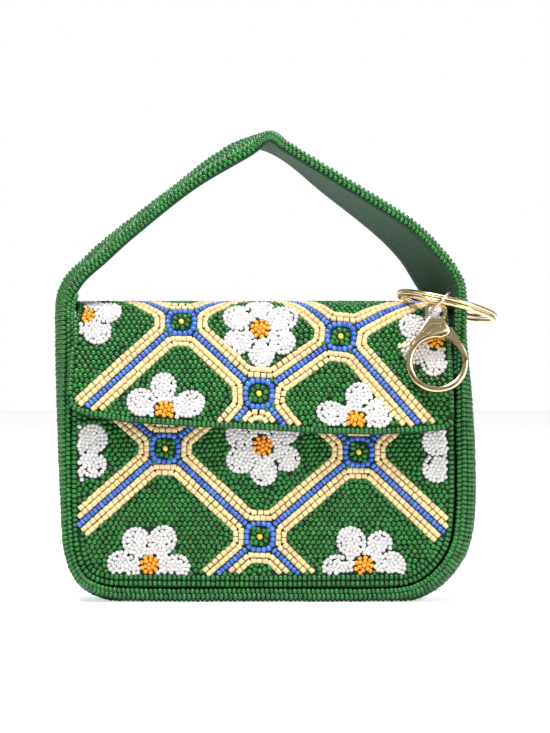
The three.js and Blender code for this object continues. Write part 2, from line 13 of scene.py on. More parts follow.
import bpy
import numpy as np
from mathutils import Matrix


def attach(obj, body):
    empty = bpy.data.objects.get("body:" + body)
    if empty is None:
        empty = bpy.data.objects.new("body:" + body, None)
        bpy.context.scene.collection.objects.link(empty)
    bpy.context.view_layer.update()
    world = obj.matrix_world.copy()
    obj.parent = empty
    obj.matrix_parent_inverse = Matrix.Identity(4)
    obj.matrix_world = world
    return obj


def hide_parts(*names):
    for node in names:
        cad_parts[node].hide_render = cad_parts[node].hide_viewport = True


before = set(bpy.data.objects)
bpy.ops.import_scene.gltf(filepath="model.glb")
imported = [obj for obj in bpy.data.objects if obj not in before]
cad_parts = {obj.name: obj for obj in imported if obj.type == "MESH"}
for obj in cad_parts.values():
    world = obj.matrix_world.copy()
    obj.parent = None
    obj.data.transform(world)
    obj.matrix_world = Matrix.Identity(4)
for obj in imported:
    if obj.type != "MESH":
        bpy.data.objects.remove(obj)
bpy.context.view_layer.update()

LOG = logging.getLogger("beaded_bag")
MM = 0.001
TURN = 2 * math.pi
BODY = "bag"

# Sizes that the cloth pieces share, named as in the part's source
WALL = 3.0
LINING_WALL = 0.8
GAP = 0.35
BODY_WIDTH = 131.0
BODY_HEIGHT = 100.0
BAND_WIDTH = 24.0
SEAM_LIFT = 1.9
BACK_TOP = BODY_HEIGHT - 8
FRONT_TOP = BODY_HEIGHT - 6
LINING_END = BODY_HEIGHT - 1
HALF_WIDTH = BODY_WIDTH / 2
HALF_BAND = BAND_WIDTH / 2
BASE = WALL / 2 + SEAM_LIFT
SEAM_HEIGHT = BASE + WALL / 2 + GAP
PANEL_OUT = -WALL / 2 - GAP

BEAD_SINK = 1.05  # a bead's middle lies this far under the beadwork's outer face
CLOTH_SINK = 1.2
GROUND_LOW = (-68.0, 5.0)  # u and v that hold every ground to be filled
GROUND_RIGHT = 66.0
STEP = 0.01  # share of a row that gives a curve's direction

Point = tuple[float, float]
Inside = Callable[[np.ndarray], np.ndarray]

# The band's route: x and the shares of body height, handle rise, lean and bulge.
BAND_PATH = np.array([
    (0, 0, 0, 0, 0.66), (0.61, 0, 0, 0, 0.66), (0.765, 0.014, 0, 0, 0.7), (0.886, 0.068, 0, 0, 0.8),
    (0.972, 0.16, 0, 0, 0.92), (1, 0.3, 0, 0, 1), (1, 0.6, 0, 0, 0.85), (0.99, 0.86, 0, 0.2, 0.45),
    (0.96, 1, 0, 0.85, 0.25), (0.911, 1, 0.154, 1.28, 0), (0.816, 1, 0.315, 1.2, 0),
    (0.681, 1, 0.472, 1.17, 0), (0.376, 1, 0.721, 0.72, 0), (0.1, 1, 0.94, 0.25, 0),
    (-0.03, 1, 1.002, 0.8, 0), (-0.167, 1, 0.915, 1.25, 0), (-0.426, 1, 0.716, 0.7, 0),
    (-0.757, 1, 0.419, 0.79, 0), (-0.896, 1, 0.275, 0.8, 0), (-1.002, 1, 0.154, 0.66, 0),
    (-1.046, 1, 0.02, 0.45, 0.2), (-1.023, 0.86, 0, 0.15, 0.62), (-1.021, 0.6, 0, 0, 0.5),
    (-1.021, 0.3, 0, 0, 0.25), (-1.003, 0.135, 0, 0, 0.24), (-0.94, 0.045, 0, 0, 0.32),
    (-0.82, 0.008, 0, 0, 0.5), (-0.62, 0, 0, 0, 0.66),
])
HANDLE_TOP_ROW = 14
# The flap's profile below the seam: shares of its reach and of the way from the profile's end to the top.
FLAP_PROFILE = (
    (0.492, 0.868), (0.44, 0.918), (0.335, 0.957), (0.19, 0.985), (-0.03, 1), (-0.25, 0.994),
    (-0.42, 0.965), (-0.54, 0.915), (-0.65, 0.83), (-0.745, 0.7), (-0.825, 0.55), (-0.9, 0.385),
    (-0.96, 0.2), (-1, 0),
)
# Share of that height, left side and right side as shares of half the body's width.
FLAP_SIDES = np.array([
    (0, -1.005, 0.968), (0.4, -1.01, 0.966), (0.6, -1.002, 0.962), (0.8, -0.994, 0.95), (1, -0.982, 0.936),
])
# Share across the flap and height of its lower edge as a share of the body's height.
FLAP_HEM = np.array([
    (0, 0.68), (0.012, 0.651), (0.04, 0.635), (0.15, 0.61), (0.33, 0.595), (0.5, 0.585), (0.66, 0.572),
    (0.8, 0.568), (0.92, 0.577), (0.975, 0.584), (0.993, 0.6), (1, 0.63),
])


def ease(share: np.ndarray) -> np.ndarray:
    """A share that leaves 0 and reaches 1 gently."""
    return share * share * (3 - 2 * share)


def even_along(path: np.ndarray) -> np.ndarray:
    """Distance along a path of points at each of them."""
    return np.concatenate([[0], np.cumsum(np.linalg.norm(np.diff(path, axis=0), axis=1))])


def at_distance(path: np.ndarray, along: np.ndarray, wanted: np.ndarray) -> np.ndarray:
    """Places of a flat path at the wanted distances."""
    return np.stack([np.interp(wanted, along, path[:, i]) for i in (0, 1)], axis=1)


def circle(turns: np.ndarray) -> np.ndarray:
    """Unit directions at some turns."""
    return np.stack([np.cos(turns), np.sin(turns)], axis=1)


def distances(points: np.ndarray, others: np.ndarray) -> np.ndarray:
    """Distance from each point to each of the others."""
    return np.hypot(points[:, None, 0] - others[None, :, 0], points[:, None, 1] - others[None, :, 1])


def nearest(points: np.ndarray, others: np.ndarray) -> np.ndarray:
    """Distance to the nearest of the others."""
    return distances(points, others).min(axis=1)


def through(points: np.ndarray, at: np.ndarray, closed: bool) -> np.ndarray:
    """Smooth curve through rows of points.

    Between two rows it is a cubic. Its slope at a row is the step between that row's two neighbours,
    divided by the sum of the chords to them and times the chord that the cubic spans.

    Args:
        points: one row for each point, the first two columns giving the chord.
        at: row numbers with their fractions.
        closed: whether the last row joins the first.

    Returns:
        One row for each value of at.
    """
    count = len(points)
    at = np.asarray(at, float)
    i = np.floor(at).astype(int)
    if not closed:
        i = np.clip(i, 0, count - 2)
    t = (at - i)[..., None]

    def row(k: np.ndarray) -> np.ndarray:
        """Row k, wrapped round or held at the ends."""
        return points[k % count] if closed else points[np.clip(k, 0, count - 1)]

    def chord(k: np.ndarray) -> np.ndarray:
        """Distance from row k to the next."""
        step = row(k + 1) - row(k)
        return np.maximum(np.hypot(step[..., 0], step[..., 1]), 1e-6)[..., None]

    before, here, after = chord(i - 1), chord(i), chord(i + 1)
    leave = (row(i + 1) - row(i - 1)) / (before + here) * here
    arrive = (row(i + 2) - row(i)) / (here + after) * here
    bend = (2 * t**3 - 3 * t**2 + 1) * row(i) + (3 * t**2 - 2 * t**3) * row(i + 1)
    return bend + (t**3 - 2 * t**2 + t) * leave + (t**3 - t**2) * arrive


@dataclass(frozen=True)
class Surface:
    """A curved face with flat coordinates in millimetres.

    Attributes:
        point: (u, v, depth under the outer face) to points.
        outward: 1, or -1 where u and v turn the other way round.
        step: half the distance over which directions are taken.
    """

    point: Callable[[np.ndarray, np.ndarray, float], np.ndarray]
    outward: int = 1
    step: float = 0.2

    def frames(self, u: np.ndarray, v: np.ndarray, depth: float) -> tuple[np.ndarray, ...]:
        """Points with the unit directions of u and v and the outward normal.

        Args:
            u: one value for each point.
            v: the same.
            depth: how far under the outer face.

        Returns:
            Points, directions of u, directions of v, and normals.
        """
        along = self.point(u + self.step, v, depth) - self.point(u - self.step, v, depth)
        up = self.point(u, v + self.step, depth) - self.point(u, v - self.step, depth)
        along /= np.linalg.norm(along, axis=1, keepdims=True) + 1e-12
        normal = np.cross(along, up) * self.outward
        normal /= np.linalg.norm(normal, axis=1, keepdims=True) + 1e-12
        up = np.cross(normal, along) * self.outward
        return self.point(u, v, depth), along, up, normal


def new_object(name: str, verts: np.ndarray, faces: np.ndarray) -> bpy.types.Object:
    """Smooth object at the origin from millimetre points and four-sided faces.

    Args:
        name: of the object and its mesh.
        verts: points, one row each.
        faces: four point numbers, one row each.

    Returns:
        The object, linked to the scene.
    """
    mesh = bpy.data.meshes.new(name)
    mesh.vertices.add(len(verts))
    mesh.vertices.foreach_set("co", (np.asarray(verts) * MM).astype(np.float32).ravel())
    mesh.loops.add(faces.size)
    mesh.loops.foreach_set("vertex_index", faces.astype(np.int32).ravel())
    mesh.polygons.add(len(faces))
    mesh.polygons.foreach_set("loop_start", np.arange(0, faces.size, faces.shape[1], dtype=np.int32))
    mesh.polygons.foreach_set("use_smooth", np.full(len(faces), True))
    mesh.update(calc_edges=True)
    thing = bpy.data.objects.new(name, mesh)
    bpy.context.scene.collection.objects.link(thing)
    return thing


def grid_faces(columns: int, rows: int, loop: bool = False) -> np.ndarray:
    """Faces of a grid of points, rows of columns, optionally closed along the columns.

    Args:
        columns: points in a row.
        rows: how many rows.
        loop: whether the last column joins the first.

    Returns:
        Four point numbers, one row each.
    """
    across = np.arange(columns if loop else columns - 1)
    upward = np.arange(rows - 1)
    a = upward[:, None] * columns + across[None, :]
    b = upward[:, None] * columns + (across[None, :] + 1) % columns
    return np.stack([a, b, b + columns, a + columns], axis=-1).reshape(-1, 4)


def cloth_wall(name: str, outer: np.ndarray, inner: np.ndarray, loop: bool = False) -> bpy.types.Object:
    """Closed wall between two grids of points.

    Args:
        name: the piece's name.
        outer: outer face, rows by columns by three, anticlockwise from outside.
        inner: inner face, of the same shape.
        loop: whether the last column joins the first.

    Returns:
        The piece.
    """
    rows, columns = outer.shape[:2]
    verts = np.concatenate([outer.reshape(-1, 3), inner.reshape(-1, 3)])
    count = rows * columns
    front = grid_faces(columns, rows, loop)
    parts = [front, front[:, ::-1] + count]
    ids = np.arange(count).reshape(rows, columns)
    edges = [ids[0], ids[-1, ::-1]]
    if not loop:
        edges += [ids[::-1, 0], ids[:, -1]]
    for edge in edges:
        pairs = np.stack([edge, np.roll(edge, -1)], axis=1)
        pairs = pairs if loop else pairs[:-1]
        parts.append(np.stack([pairs[:, 1], pairs[:, 0], pairs[:, 0] + count, pairs[:, 1] + count], axis=1))
    return new_object(name, verts, np.concatenate(parts))


class Nodes:
    """A node tree that is written node by node."""

    def __init__(self, tree: bpy.types.NodeTree) -> None:
        """Takes the tree to write in."""
        self.tree = tree

    def set(self, node: bpy.types.Node, inputs: dict[str | int, object]) -> None:
        """Sets a node's inputs, or links them where a socket is given.

        Args:
            node: the node.
            inputs: name or number of each input, with its value or socket.
        """
        for name, value in inputs.items():
            if isinstance(value, bpy.types.NodeSocket):
                self.tree.links.new(value, node.inputs[name])
            else:
                node.inputs[name].default_value = value

    def add(self, kind: str, inputs: dict[str | int, object], output: str | int, **settings: str) -> object:
        """Adds a node.

        Args:
            kind: type of the node, without its first word.
            inputs: values and sockets.
            output: the output wanted.
            settings: the node's own settings.

        Returns:
            That output's socket.
        """
        node = self.tree.nodes.new("ShaderNode" + kind)
        for name, value in settings.items():
            setattr(node, name, value)
        self.set(node, inputs)
        return node.outputs[output]

    def scaled(self, value: bpy.types.NodeSocket, low: float, high: float) -> object:
        """A value of 0 to 1 brought to a range."""
        return self.add("MapRange", {"To Min": low, "To Max": high, "Value": value}, "Result")


class Make(Enum):
    """How a finish is made up."""

    PLAIN = "one colour"
    GLASS = "beads, each with a tone of its own"
    CLOTH = "weave"
    METAL = "plate"


def linear(*color: int) -> tuple[float, float, float]:
    """Linear colour of an sRGB one, whose curve has a straight start up to 10 of 255."""
    return tuple(((c / 255 + 0.055) / 1.055) ** 2.4 if c > 10 else c / 255 / 12.92 for c in color)


MADE: dict["Finish", bpy.types.Material] = {}


@dataclass(frozen=True)
class Finish:
    """Look of one kind of surface.

    Attributes:
        name: material name.
        make: how it is made up.
        color: base colour, linear.
        deep: colour of the darkest pieces.
        roughness: 0 shiny to 1 matt.
        coat: strength of the clear layer.
    """

    name: str
    make: Make
    color: tuple[float, float, float]
    deep: tuple[float, float, float]
    roughness: float = 0.2
    coat: float = 0.0

    def material(self) -> bpy.types.Material:
        """The finish's material, made once.

        Returns:
            The same material each time.
        """
        if self in MADE:
            return MADE[self]
        material = MADE[self] = bpy.data.materials.new(self.name)
        material.use_nodes = True
        nodes = Nodes(material.node_tree)
        nodes.set(self.shader(material), {
            "Base Color": (*self.color, 1), "Roughness": self.roughness, "Coat Weight": self.coat,
            "Metallic": float(self.make is Make.METAL), "Coat Roughness": 0.06,
        })
        write = {Make.GLASS: self.write_glass, Make.CLOTH: self.write_cloth, Make.METAL: self.write_metal}
        if self.make in write:
            nodes.set(self.shader(material), write[self.make](nodes))
        return material

    def shader(self, material: bpy.types.Material) -> bpy.types.Node:
        """The material's one shader."""
        return material.node_tree.nodes["Principled BSDF"]

    def tones(self, nodes: Nodes, share: object) -> object:
        """Colour between deep and light."""
        return nodes.add("Mix", {6: (*self.deep, 1), 7: (*self.color, 1), 0: share}, 2, data_type="RGBA")

    def write_glass(self, nodes: Nodes) -> dict[str, object]:
        """Colour by each bead's own tone."""
        return {"Base Color": self.tones(nodes, nodes.add("Attribute", {}, "Fac", attribute_name="tone"))}

    def write_cloth(self, nodes: Nodes, weave: float = 325.0) -> dict[str, object]:
        """Two crossed waves on object coordinates, with a fine noise in the colour.

        Args:
            nodes: the tree to write in.
            weave: scale of the threads.

        Returns:
            The shader's inputs.
        """
        place = nodes.add("TexCoord", {}, "Object")
        noise = nodes.add("TexNoise", {"Scale": weave * 8 / 3, "Vector": place}, "Fac")
        threads = [
            nodes.add("TexWave", {"Scale": weave, "Vector": place}, "Fac", bands_direction=way)
            for way in ("X", "Z")
        ]
        height = nodes.add("Math", dict(enumerate(threads)), 0, operation="MAXIMUM")
        bump = nodes.add("Bump", {"Strength": 0.35, "Distance": 0.0002, "Height": height}, "Normal")
        return {"Base Color": self.tones(nodes, noise), "Normal": bump, "Sheen Weight": 0.08}

    def write_metal(self, nodes: Nodes) -> dict[str, object]:
        """Uneven shine and a faint unevenness of the surface.

        Args:
            nodes: the tree to write in.

        Returns:
            The shader's inputs.
        """
        place = nodes.add("TexCoord", {}, "Object")
        shine = nodes.add("TexNoise", {"Scale": 420, "Vector": place}, "Fac")
        waves = nodes.add("TexNoise", {"Scale": 130, "Detail": 0, "Vector": place}, "Fac")
        bump = nodes.add("Bump", {"Strength": 0.5, "Distance": 0.0012, "Height": waves}, "Normal")
        uneven = nodes.scaled(shine, self.roughness * 0.7, self.roughness * 1.4)
        return {"Roughness": uneven, "Normal": bump}


GREEN = Finish("green_glass", Make.GLASS, linear(26, 110, 36), linear(8, 62, 18), 0.27, 0.15)
EDGE_GREEN = Finish("edge_green_glass", Make.GLASS, linear(30, 114, 42), linear(12, 72, 24), 0.27, 0.15)
CREAM = Finish("cream_glass", Make.GLASS, linear(226, 208, 150), linear(212, 178, 132), 0.36, 0.15)
BLUE = Finish("blue_glass", Make.GLASS, linear(74, 124, 208), linear(34, 68, 168), 0.24, 0.25)
WHITE = Finish("white_glass", Make.GLASS, linear(220, 219, 217), linear(190, 187, 188), 0.3, 0.25)
ORANGE = Finish("orange_glass", Make.GLASS, linear(240, 166, 34), linear(216, 124, 14), 0.25, 0.3)
YELLOW = Finish("yellow_glass", Make.GLASS, linear(230, 206, 64), linear(206, 178, 40), 0.2, 0.5)
# Dark flat caps of the round beads: painted shade inside the hole, over the backing's own dark green seen
# through it.
HOLE_SHADE = Finish("bead_hole", Make.GLASS, linear(24, 44, 26), linear(24, 44, 26), 0.9)
BACKING = Finish("backing_cloth", Make.CLOTH, linear(16, 62, 26), linear(8, 40, 16), 0.9)
LINING = Finish("lining_cloth", Make.CLOTH, linear(18, 76, 42), linear(5, 34, 20), 0.85)
GOLD = Finish("light_gold", Make.METAL, linear(238, 214, 168), linear(214, 184, 136), 0.16)
ROSE_GOLD = Finish("rose_gold", Make.METAL, linear(236, 190, 160), linear(206, 158, 128), 0.18)
FLOOR = Finish("pale_floor", Make.PLAIN, (0.93, 0.93, 0.93), (0.9, 0.9, 0.9), 0.85)
CARD = Finish("dark_card", Make.PLAIN, (0.02, 0.016, 0.012), (0.02, 0.016, 0.012), 0.9)


class Cut(Enum):
    """Shape of a bead's outline: (share of half length, share of radius) for each ring."""

    ROUND = ((-1, 0.5), (-0.52, 0.97), (0.52, 0.97), (1, 0.5))
    BLOCK = ((-1, 0.84), (-0.86, 1), (0.86, 1), (1, 0.84))


@dataclass(frozen=True)
class BeadKind:
    """One kind of bead.

    Attributes:
        name: word used in piece names.
        width: diameter.
        length: along the thread.
        finish: look.
        cut: outline.
        sides: of the ring, which the caps' faces are made for.
    """

    name: str
    width: float
    length: float
    finish: Finish
    cut: Cut = Cut.ROUND
    sides: int = 8

    @property
    def sink(self) -> float:
        """How far under the beadwork's face its middle lies."""
        return BEAD_SINK if self.width > 1.7 else BEAD_SINK * 0.9

    def shape(self) -> tuple[np.ndarray, np.ndarray, np.ndarray]:
        """A bead of half length 1 and radius 1 along X.

        Returns:
            Points, faces, and for each face 1 where it is a cap painted with the hole's shade.
        """
        turns = (np.arange(self.sides) + 0.5) / self.sides * TURN
        rings = [
            np.stack([np.full(self.sides, along), radius * np.cos(turns), radius * np.sin(turns)], axis=1)
            for along, radius in self.cut.value
        ]
        around = grid_faces(self.sides, len(rings), loop=True)[:, ::-1]
        cap = np.array([(0, 1, 2, 7), (2, 3, 6, 7), (3, 4, 5, 6)])
        caps = np.concatenate([cap, cap[:, ::-1] + self.sides * (len(rings) - 1)])
        # Round beads' caps take the painted shade of the hole; block beads' caps keep the bead's own colour.
        hole_shade = np.concatenate([np.zeros(len(around)), np.full(len(caps), self.cut is Cut.ROUND)])
        return np.concatenate(rings), np.concatenate([around, caps]), hole_shade.astype(np.int32)


KINDS = {
    kind.name: kind
    for kind in (
        BeadKind("green", 2.06, 1.58, GREEN),
        BeadKind("border", 2.1, 1.42, EDGE_GREEN),
        BeadKind("seam", 2.0, 1.45, EDGE_GREEN),
        BeadKind("cream", 1.92, 1.84, CREAM, Cut.BLOCK),
        BeadKind("blue", 2.05, 1.4, BLUE),
        BeadKind("ring", 2.05, 1.72, BLUE),
        BeadKind("white", 1.68, 1.44, WHITE),
        BeadKind("orange", 1.7, 1.42, ORANGE),
        BeadKind("yellow", 2.2, 1.7, YELLOW),
    )
}


LONE_REACH = 3.0  # white beads within this of each other keep each other company
LONE_COUNT = 4
LOOK = 0.3  # distance over which a path's direction is taken


@dataclass
class Beads:
    """Beads laid out on a surface's flat coordinates.

    Attributes:
        kind: name of the bead kind, one for each bead.
        place: u and v, one row each.
        angle: thread's direction in the flat coordinates, radians.
    """

    kind: np.ndarray = field(default_factory=lambda: np.zeros(0, "U8"))
    place: np.ndarray = field(default_factory=lambda: np.zeros((0, 2)))
    angle: np.ndarray = field(default_factory=lambda: np.zeros(0))

    def add(self, kind: str, place: np.ndarray, angle: np.ndarray | float, clear: float = 0.0) -> None:
        """Adds beads, leaving out those nearer than clear to one that is already there.

        Args:
            kind: name of their kind.
            place: u and v, one row each.
            angle: thread's direction, one for all or one for each.
            clear: distance to keep, or 0.
        """
        place = np.asarray(place, float).reshape(-1, 2)
        angle = np.broadcast_to(np.asarray(angle, float), (len(place),))
        if clear and len(self.place) and len(place):
            free = nearest(place, self.place) >= clear
            place, angle = place[free], angle[free]
        self.kind = np.concatenate([self.kind, np.full(len(place), kind)])
        self.place = np.concatenate([self.place, place])
        self.angle = np.concatenate([self.angle, angle])

    def keep(self, mask: np.ndarray) -> None:
        """Keeps only some beads."""
        self.kind, self.place, self.angle = self.kind[mask], self.place[mask], self.angle[mask]

    def join(self, pattern: "Beads", inside: Inside, clear: float) -> None:
        """Takes over a pattern, cropped.

        Args:
            pattern: the layout to crop.
            inside: whether places lie in the ground.
            clear: distance to keep from the beads that are already there.
        """
        pattern.keep(inside(pattern.place))
        pattern.keep(nearest(pattern.place, self.place) > clear)
        # White beads that the crop has left almost on their own go too.
        company = (distances(pattern.place, pattern.place) < LONE_REACH) & (pattern.kind == "white")[None]
        pattern.keep((pattern.kind != "white") | (company.sum(axis=1) > LONE_COUNT))
        for name in KINDS:
            mine = pattern.kind == name
            self.add(name, pattern.place[mine], pattern.angle[mine])


def lay(path: np.ndarray, pitch: float, closed: bool = False) -> tuple[np.ndarray, np.ndarray]:
    """Even places along a path, about a pitch apart.

    Args:
        path: u and v, one row each.
        pitch: distance wanted.
        closed: whether the path's end joins its start.

    Returns:
        Places and the path's direction at each.
    """
    path = np.asarray(path, float)
    if closed:
        path = np.concatenate([path, path[:1]])
    along = even_along(path)
    count = max(int(round(along[-1] / pitch)), 1)
    wanted = (np.arange(count) + 0.5) * along[-1] / count
    step = at_distance(path, along, wanted + LOOK) - at_distance(path, along, wanted - LOOK)
    return at_distance(path, along, wanted), np.arctan2(step[:, 1], step[:, 0])


@dataclass(frozen=True)
class Ground:
    """Loose beads that push each other apart until they fill the ground that is left.

    Attributes:
        kind: bead kind.
        spacing: distance the new beads seek from each other.
        clear: distance they seek from the ones already there.
        steps: rounds of pushing.
        jitter: how far they start from an even grid.
        stride: the furthest that a bead moves in a round.
        renew: rounds between two searches for neighbours.
        push: share of a lack of room made up in a round, from a loose and from a sewn neighbour.
        grid: first pitch and height of the rows, as shares of the spacing and of that pitch.
        first_clear: share of clear that a bead needs at the start.
        last_clear: share of clear that it needs at the end.
        crowding: share of the spacing under which the later of two beads goes.
        seeing: how far neighbours are looked for, in spacings.
        twist: spread of the threads' directions, radians.
    """

    kind: str = "green"
    spacing: float = 1.82
    clear: float = 1.62
    steps: int = 45
    jitter: float = 0.55
    stride: float = 0.4
    renew: int = 8
    push: Point = (0.32, 0.6)
    grid: Point = (0.985, 0.866)
    first_clear: float = 0.72
    last_clear: float = 0.88
    crowding: float = 0.72
    seeing: float = 1.8
    twist: float = 0.12

    def fill(self, beads: Beads, inside: Inside, low: Point, high: Point, rng: np.random.Generator) -> None:
        """Fills the ground.

        Args:
            beads: what is already sewn down; the new ones are added to it.
            inside: whether places lie in the ground.
            low: lowest u and v.
            high: highest u and v.
            rng: source of the small irregularities.
        """
        pitch = self.spacing * self.grid[0]
        rows = np.arange(low[1], high[1], pitch * self.grid[1])
        u, v = np.meshgrid(np.arange(low[0], high[0], pitch), rows)
        u = u + (np.arange(len(rows)) % 2)[:, None] * pitch / 2
        loose = np.stack([u.ravel(), v.ravel()], axis=1)
        loose = loose + rng.uniform(-self.jitter, self.jitter, loose.shape)
        fixed = beads.place
        loose = loose[inside(loose)]
        loose = loose[nearest(loose, fixed) > self.clear * self.first_clear]
        for step in range(self.steps):
            if step % self.renew == 0:
                gaps = distances(loose, loose)
                first, second = np.nonzero((gaps < self.spacing * self.seeing) & (gaps > 0))
                near, wall = np.nonzero(distances(loose, fixed) < self.clear * self.seeing)
            move = np.zeros_like(loose)
            for a, away, reach, gain in (
                (first, loose[first] - loose[second], self.spacing, self.push[0]),
                (near, loose[near] - fixed[wall], self.clear, self.push[1]),
            ):
                gap = np.hypot(*away.T)[:, None] + 1e-9
                push = away / gap * np.clip(reach - gap, 0, None) * gain
                for i in (0, 1):
                    move[:, i] += np.bincount(a, push[:, i], len(loose))
            loose = loose + np.clip(move, -self.stride, self.stride)
        loose = loose[inside(loose)]
        loose = loose[nearest(loose, fixed) > self.clear * self.last_clear]
        crowded = np.tril(distances(loose, loose) < self.spacing * self.crowding, -1).any(axis=1)
        loose = loose[~crowded]
        gaps = distances(loose, loose)
        np.fill_diagonal(gaps, np.inf)
        step = loose[gaps.argmin(axis=1)] - loose
        angle = np.arctan2(step[:, 1], step[:, 0]) + rng.normal(0, self.twist, len(loose))
        beads.add(self.kind, loose, angle)


GREEN_GROUND = Ground()
WHITE_GROUND = Ground("white", 1.34, 1.3, 30)


@dataclass(frozen=True)
class Needle:
    """Sews a layout of beads on a surface.

    Attributes:
        depths: how much higher or deeper than usual a bead lies.
        tilt: spread of the threads' tilt, radians.
        spread: spread of the sizes, as a share.
        tones: shape of the spread of tones.
    """

    depths: Point = (-0.14, 0.06)
    tilt: float = 0.1
    spread: float = 0.035
    tones: Point = (2.4, 1.8)

    def sew(self, region: str, beads: Beads, surface: Surface, seed: int, deeper: float = 0.0) -> None:
        """Makes one joined mesh for each bead kind of a region.

        Args:
            region: first words of the pieces' names.
            beads: the layout.
            surface: what they are sewn on.
            seed: for each bead's small differences.
            deeper: how much further than usual the beads lie under the outer face.
        """
        for number, kind in enumerate(KINDS.values()):
            mine = beads.kind == kind.name
            if mine.any():
                rng = np.random.default_rng(seed * 100 + number)
                name = f"{region}_{kind.name}_beads"
                self._sew_kind(name, kind, beads.place[mine], beads.angle[mine], surface, rng, deeper)

    def _sew_kind(
        self, name: str, kind: BeadKind, place: np.ndarray, angle: np.ndarray, surface: Surface,
        rng: np.random.Generator, deeper: float,
    ) -> None:
        """Makes one piece: a copy of the kind's shape at every place, all in one mesh.

        Args:
            name: the piece's name.
            kind: bead kind.
            place: u and v, one row each.
            angle: thread's direction at each place.
            surface: what they are sewn on.
            rng: source of each bead's small differences.
            deeper: how much further than usual the beads lie under the outer face.
        """
        count = len(place)
        middle, along, up, normal = surface.frames(place[:, 0], place[:, 1], kind.sink + deeper)
        middle = middle + normal * rng.uniform(*self.depths, count)[:, None]
        axis = along * np.cos(angle)[:, None] + up * np.sin(angle)[:, None]
        axis = axis + normal * rng.normal(0, self.tilt, count)[:, None]
        axis /= np.linalg.norm(axis, axis=1, keepdims=True)
        side = np.cross(normal, axis)
        side /= np.linalg.norm(side, axis=1, keepdims=True)
        top = np.cross(axis, side)
        shape, faces, hole_shade = kind.shape()
        size = rng.normal(1, self.spread, (count, 3)) * (kind.length / 2, kind.width / 2, kind.width / 2)
        local = shape[None] * size[:, None, :]
        verts = middle[:, None] + local[..., :1] * axis[:, None] + local[..., 1:2] * side[:, None]
        verts = verts + local[..., 2:] * top[:, None]
        all_faces = faces[None] + (np.arange(count) * len(shape))[:, None, None]
        piece = new_object(name, verts.reshape(-1, 3), all_faces.reshape(-1, 4))
        tone = piece.data.attributes.new("tone", "FLOAT", "POINT")
        tones = np.repeat(rng.beta(*self.tones, count), len(shape))
        tone.data.foreach_set("value", tones.astype(np.float32))
        # The second material is the painted shade of the holes on the round beads' caps.
        for finish in (kind.finish, HOLE_SHADE):
            piece.data.materials.append(finish.material())
        piece.data.polygons.foreach_set("material_index", np.tile(hole_shade, count))
        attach(piece, BODY)
        LOG.info("%s: %d beads, %d triangles", name, count, 2 * len(faces) * count)


NEEDLE = Needle()


@dataclass(frozen=True)
class Rosette:
    """Crossing of the trellis, with its arms and the cream rows round them.

    Attributes:
        place: u and v.
        arms: far ends of the arms, u and v.
        joined: whether the arm with the same number ends at another rosette.
        half: half the ring's width.
        ring_pitch: distance between the ring's beads.
        squareness: power of the circle's coordinates that makes it a rounded square.
        heart: radius of the green beads within.
        hearts: how many.
        start: from the middle to an arm's first bead.
        blue_pitch: distance between an arm's beads.
        cream_rows: distance of each cream row from the arm's line and from the middle.
        cream_pitch: distance between cream beads.
        clear: distance that the blue and the cream beads keep from the others.
    """

    place: Point
    arms: tuple[Point, ...]
    joined: tuple[bool, ...]
    half: float = 4.45
    ring_pitch: float = 1.8
    squareness: float = 0.68
    heart: float = 2.35
    hearts: int = 8
    start: float = 6.15
    blue_pitch: float = 1.47
    cream_rows: tuple[Point, ...] = ((2.05, 6.25), (4.0, 8.2))
    cream_pitch: float = 2.02
    clear: Point = (1.0, 1.2)

    def add_to(self, beads: Beads) -> None:
        """Sews the ring, its heart, and then each arm with its cream rows.

        Args:
            beads: layout to add to.
        """
        middle = np.array(self.place)
        ends = np.array(self.arms) - middle
        order = np.argsort(np.arctan2(ends[:, 1], ends[:, 0]))
        ends = ends[order]
        reach = np.hypot(*ends.T)
        ways = ends / reach[:, None]
        stops = np.where(np.array(self.joined)[order], reach / 2, reach)
        flat = circle(np.linspace(0, TURN, 97)[:-1])
        ring = np.sign(flat) * np.abs(flat) ** self.squareness
        place, angle = lay(ring * self.half, self.ring_pitch, closed=True)
        beads.add("ring", middle + place, angle)
        turns = np.arange(self.hearts) / self.hearts * TURN + 0.2
        beads.add("green", middle + self.heart * circle(turns), turns + math.pi / 2)
        beads.add("yellow", middle, 0.4)
        for way, stop in zip(ways, stops):
            place, angle = lay(np.stack([way * self.start, way * stop]), self.blue_pitch)
            beads.add("blue", middle + place, angle, self.clear[0])
        for k in range(len(ways)):
            after = (k + 1) % len(ways)
            for offset, chamfer in self.cream_rows:
                self._add_cream(beads, (ways[k], ways[after]), (stops[k], stops[after]), offset, chamfer)

    def _add_cream(
        self, beads: Beads, ways: tuple[np.ndarray, ...], stops: Point, offset: float, chamfer: float
    ) -> None:
        """Sews one cream row between two neighbouring arms, with a straight cut across the corner.

        Args:
            beads: layout to add to.
            ways: directions of the two arms, anticlockwise.
            stops: lengths of the two arms.
            offset: from an arm's line to the row.
            chamfer: from the middle to the cut.
        """
        middle = np.array(self.place)
        inner = ways[0] + ways[1]
        inner /= np.hypot(*inner)
        corners = []
        for way, stop, sign in zip(ways, stops, (1, -1)):
            aside = np.array([-way[1], way[0]]) * sign
            start = (chamfer - offset * aside @ inner) / (way @ inner)
            corner = way * start + aside * offset
            corners.append(corner)
            if stop > start + self.cream_pitch / 2:
                place, angle = lay(np.stack([corner, way * stop + aside * offset]), self.cream_pitch)
                beads.add("cream", middle + place, angle, self.clear[1])
        place, angle = lay(np.stack(corners), self.cream_pitch)
        beads.add("cream", middle + place, angle, self.clear[1])


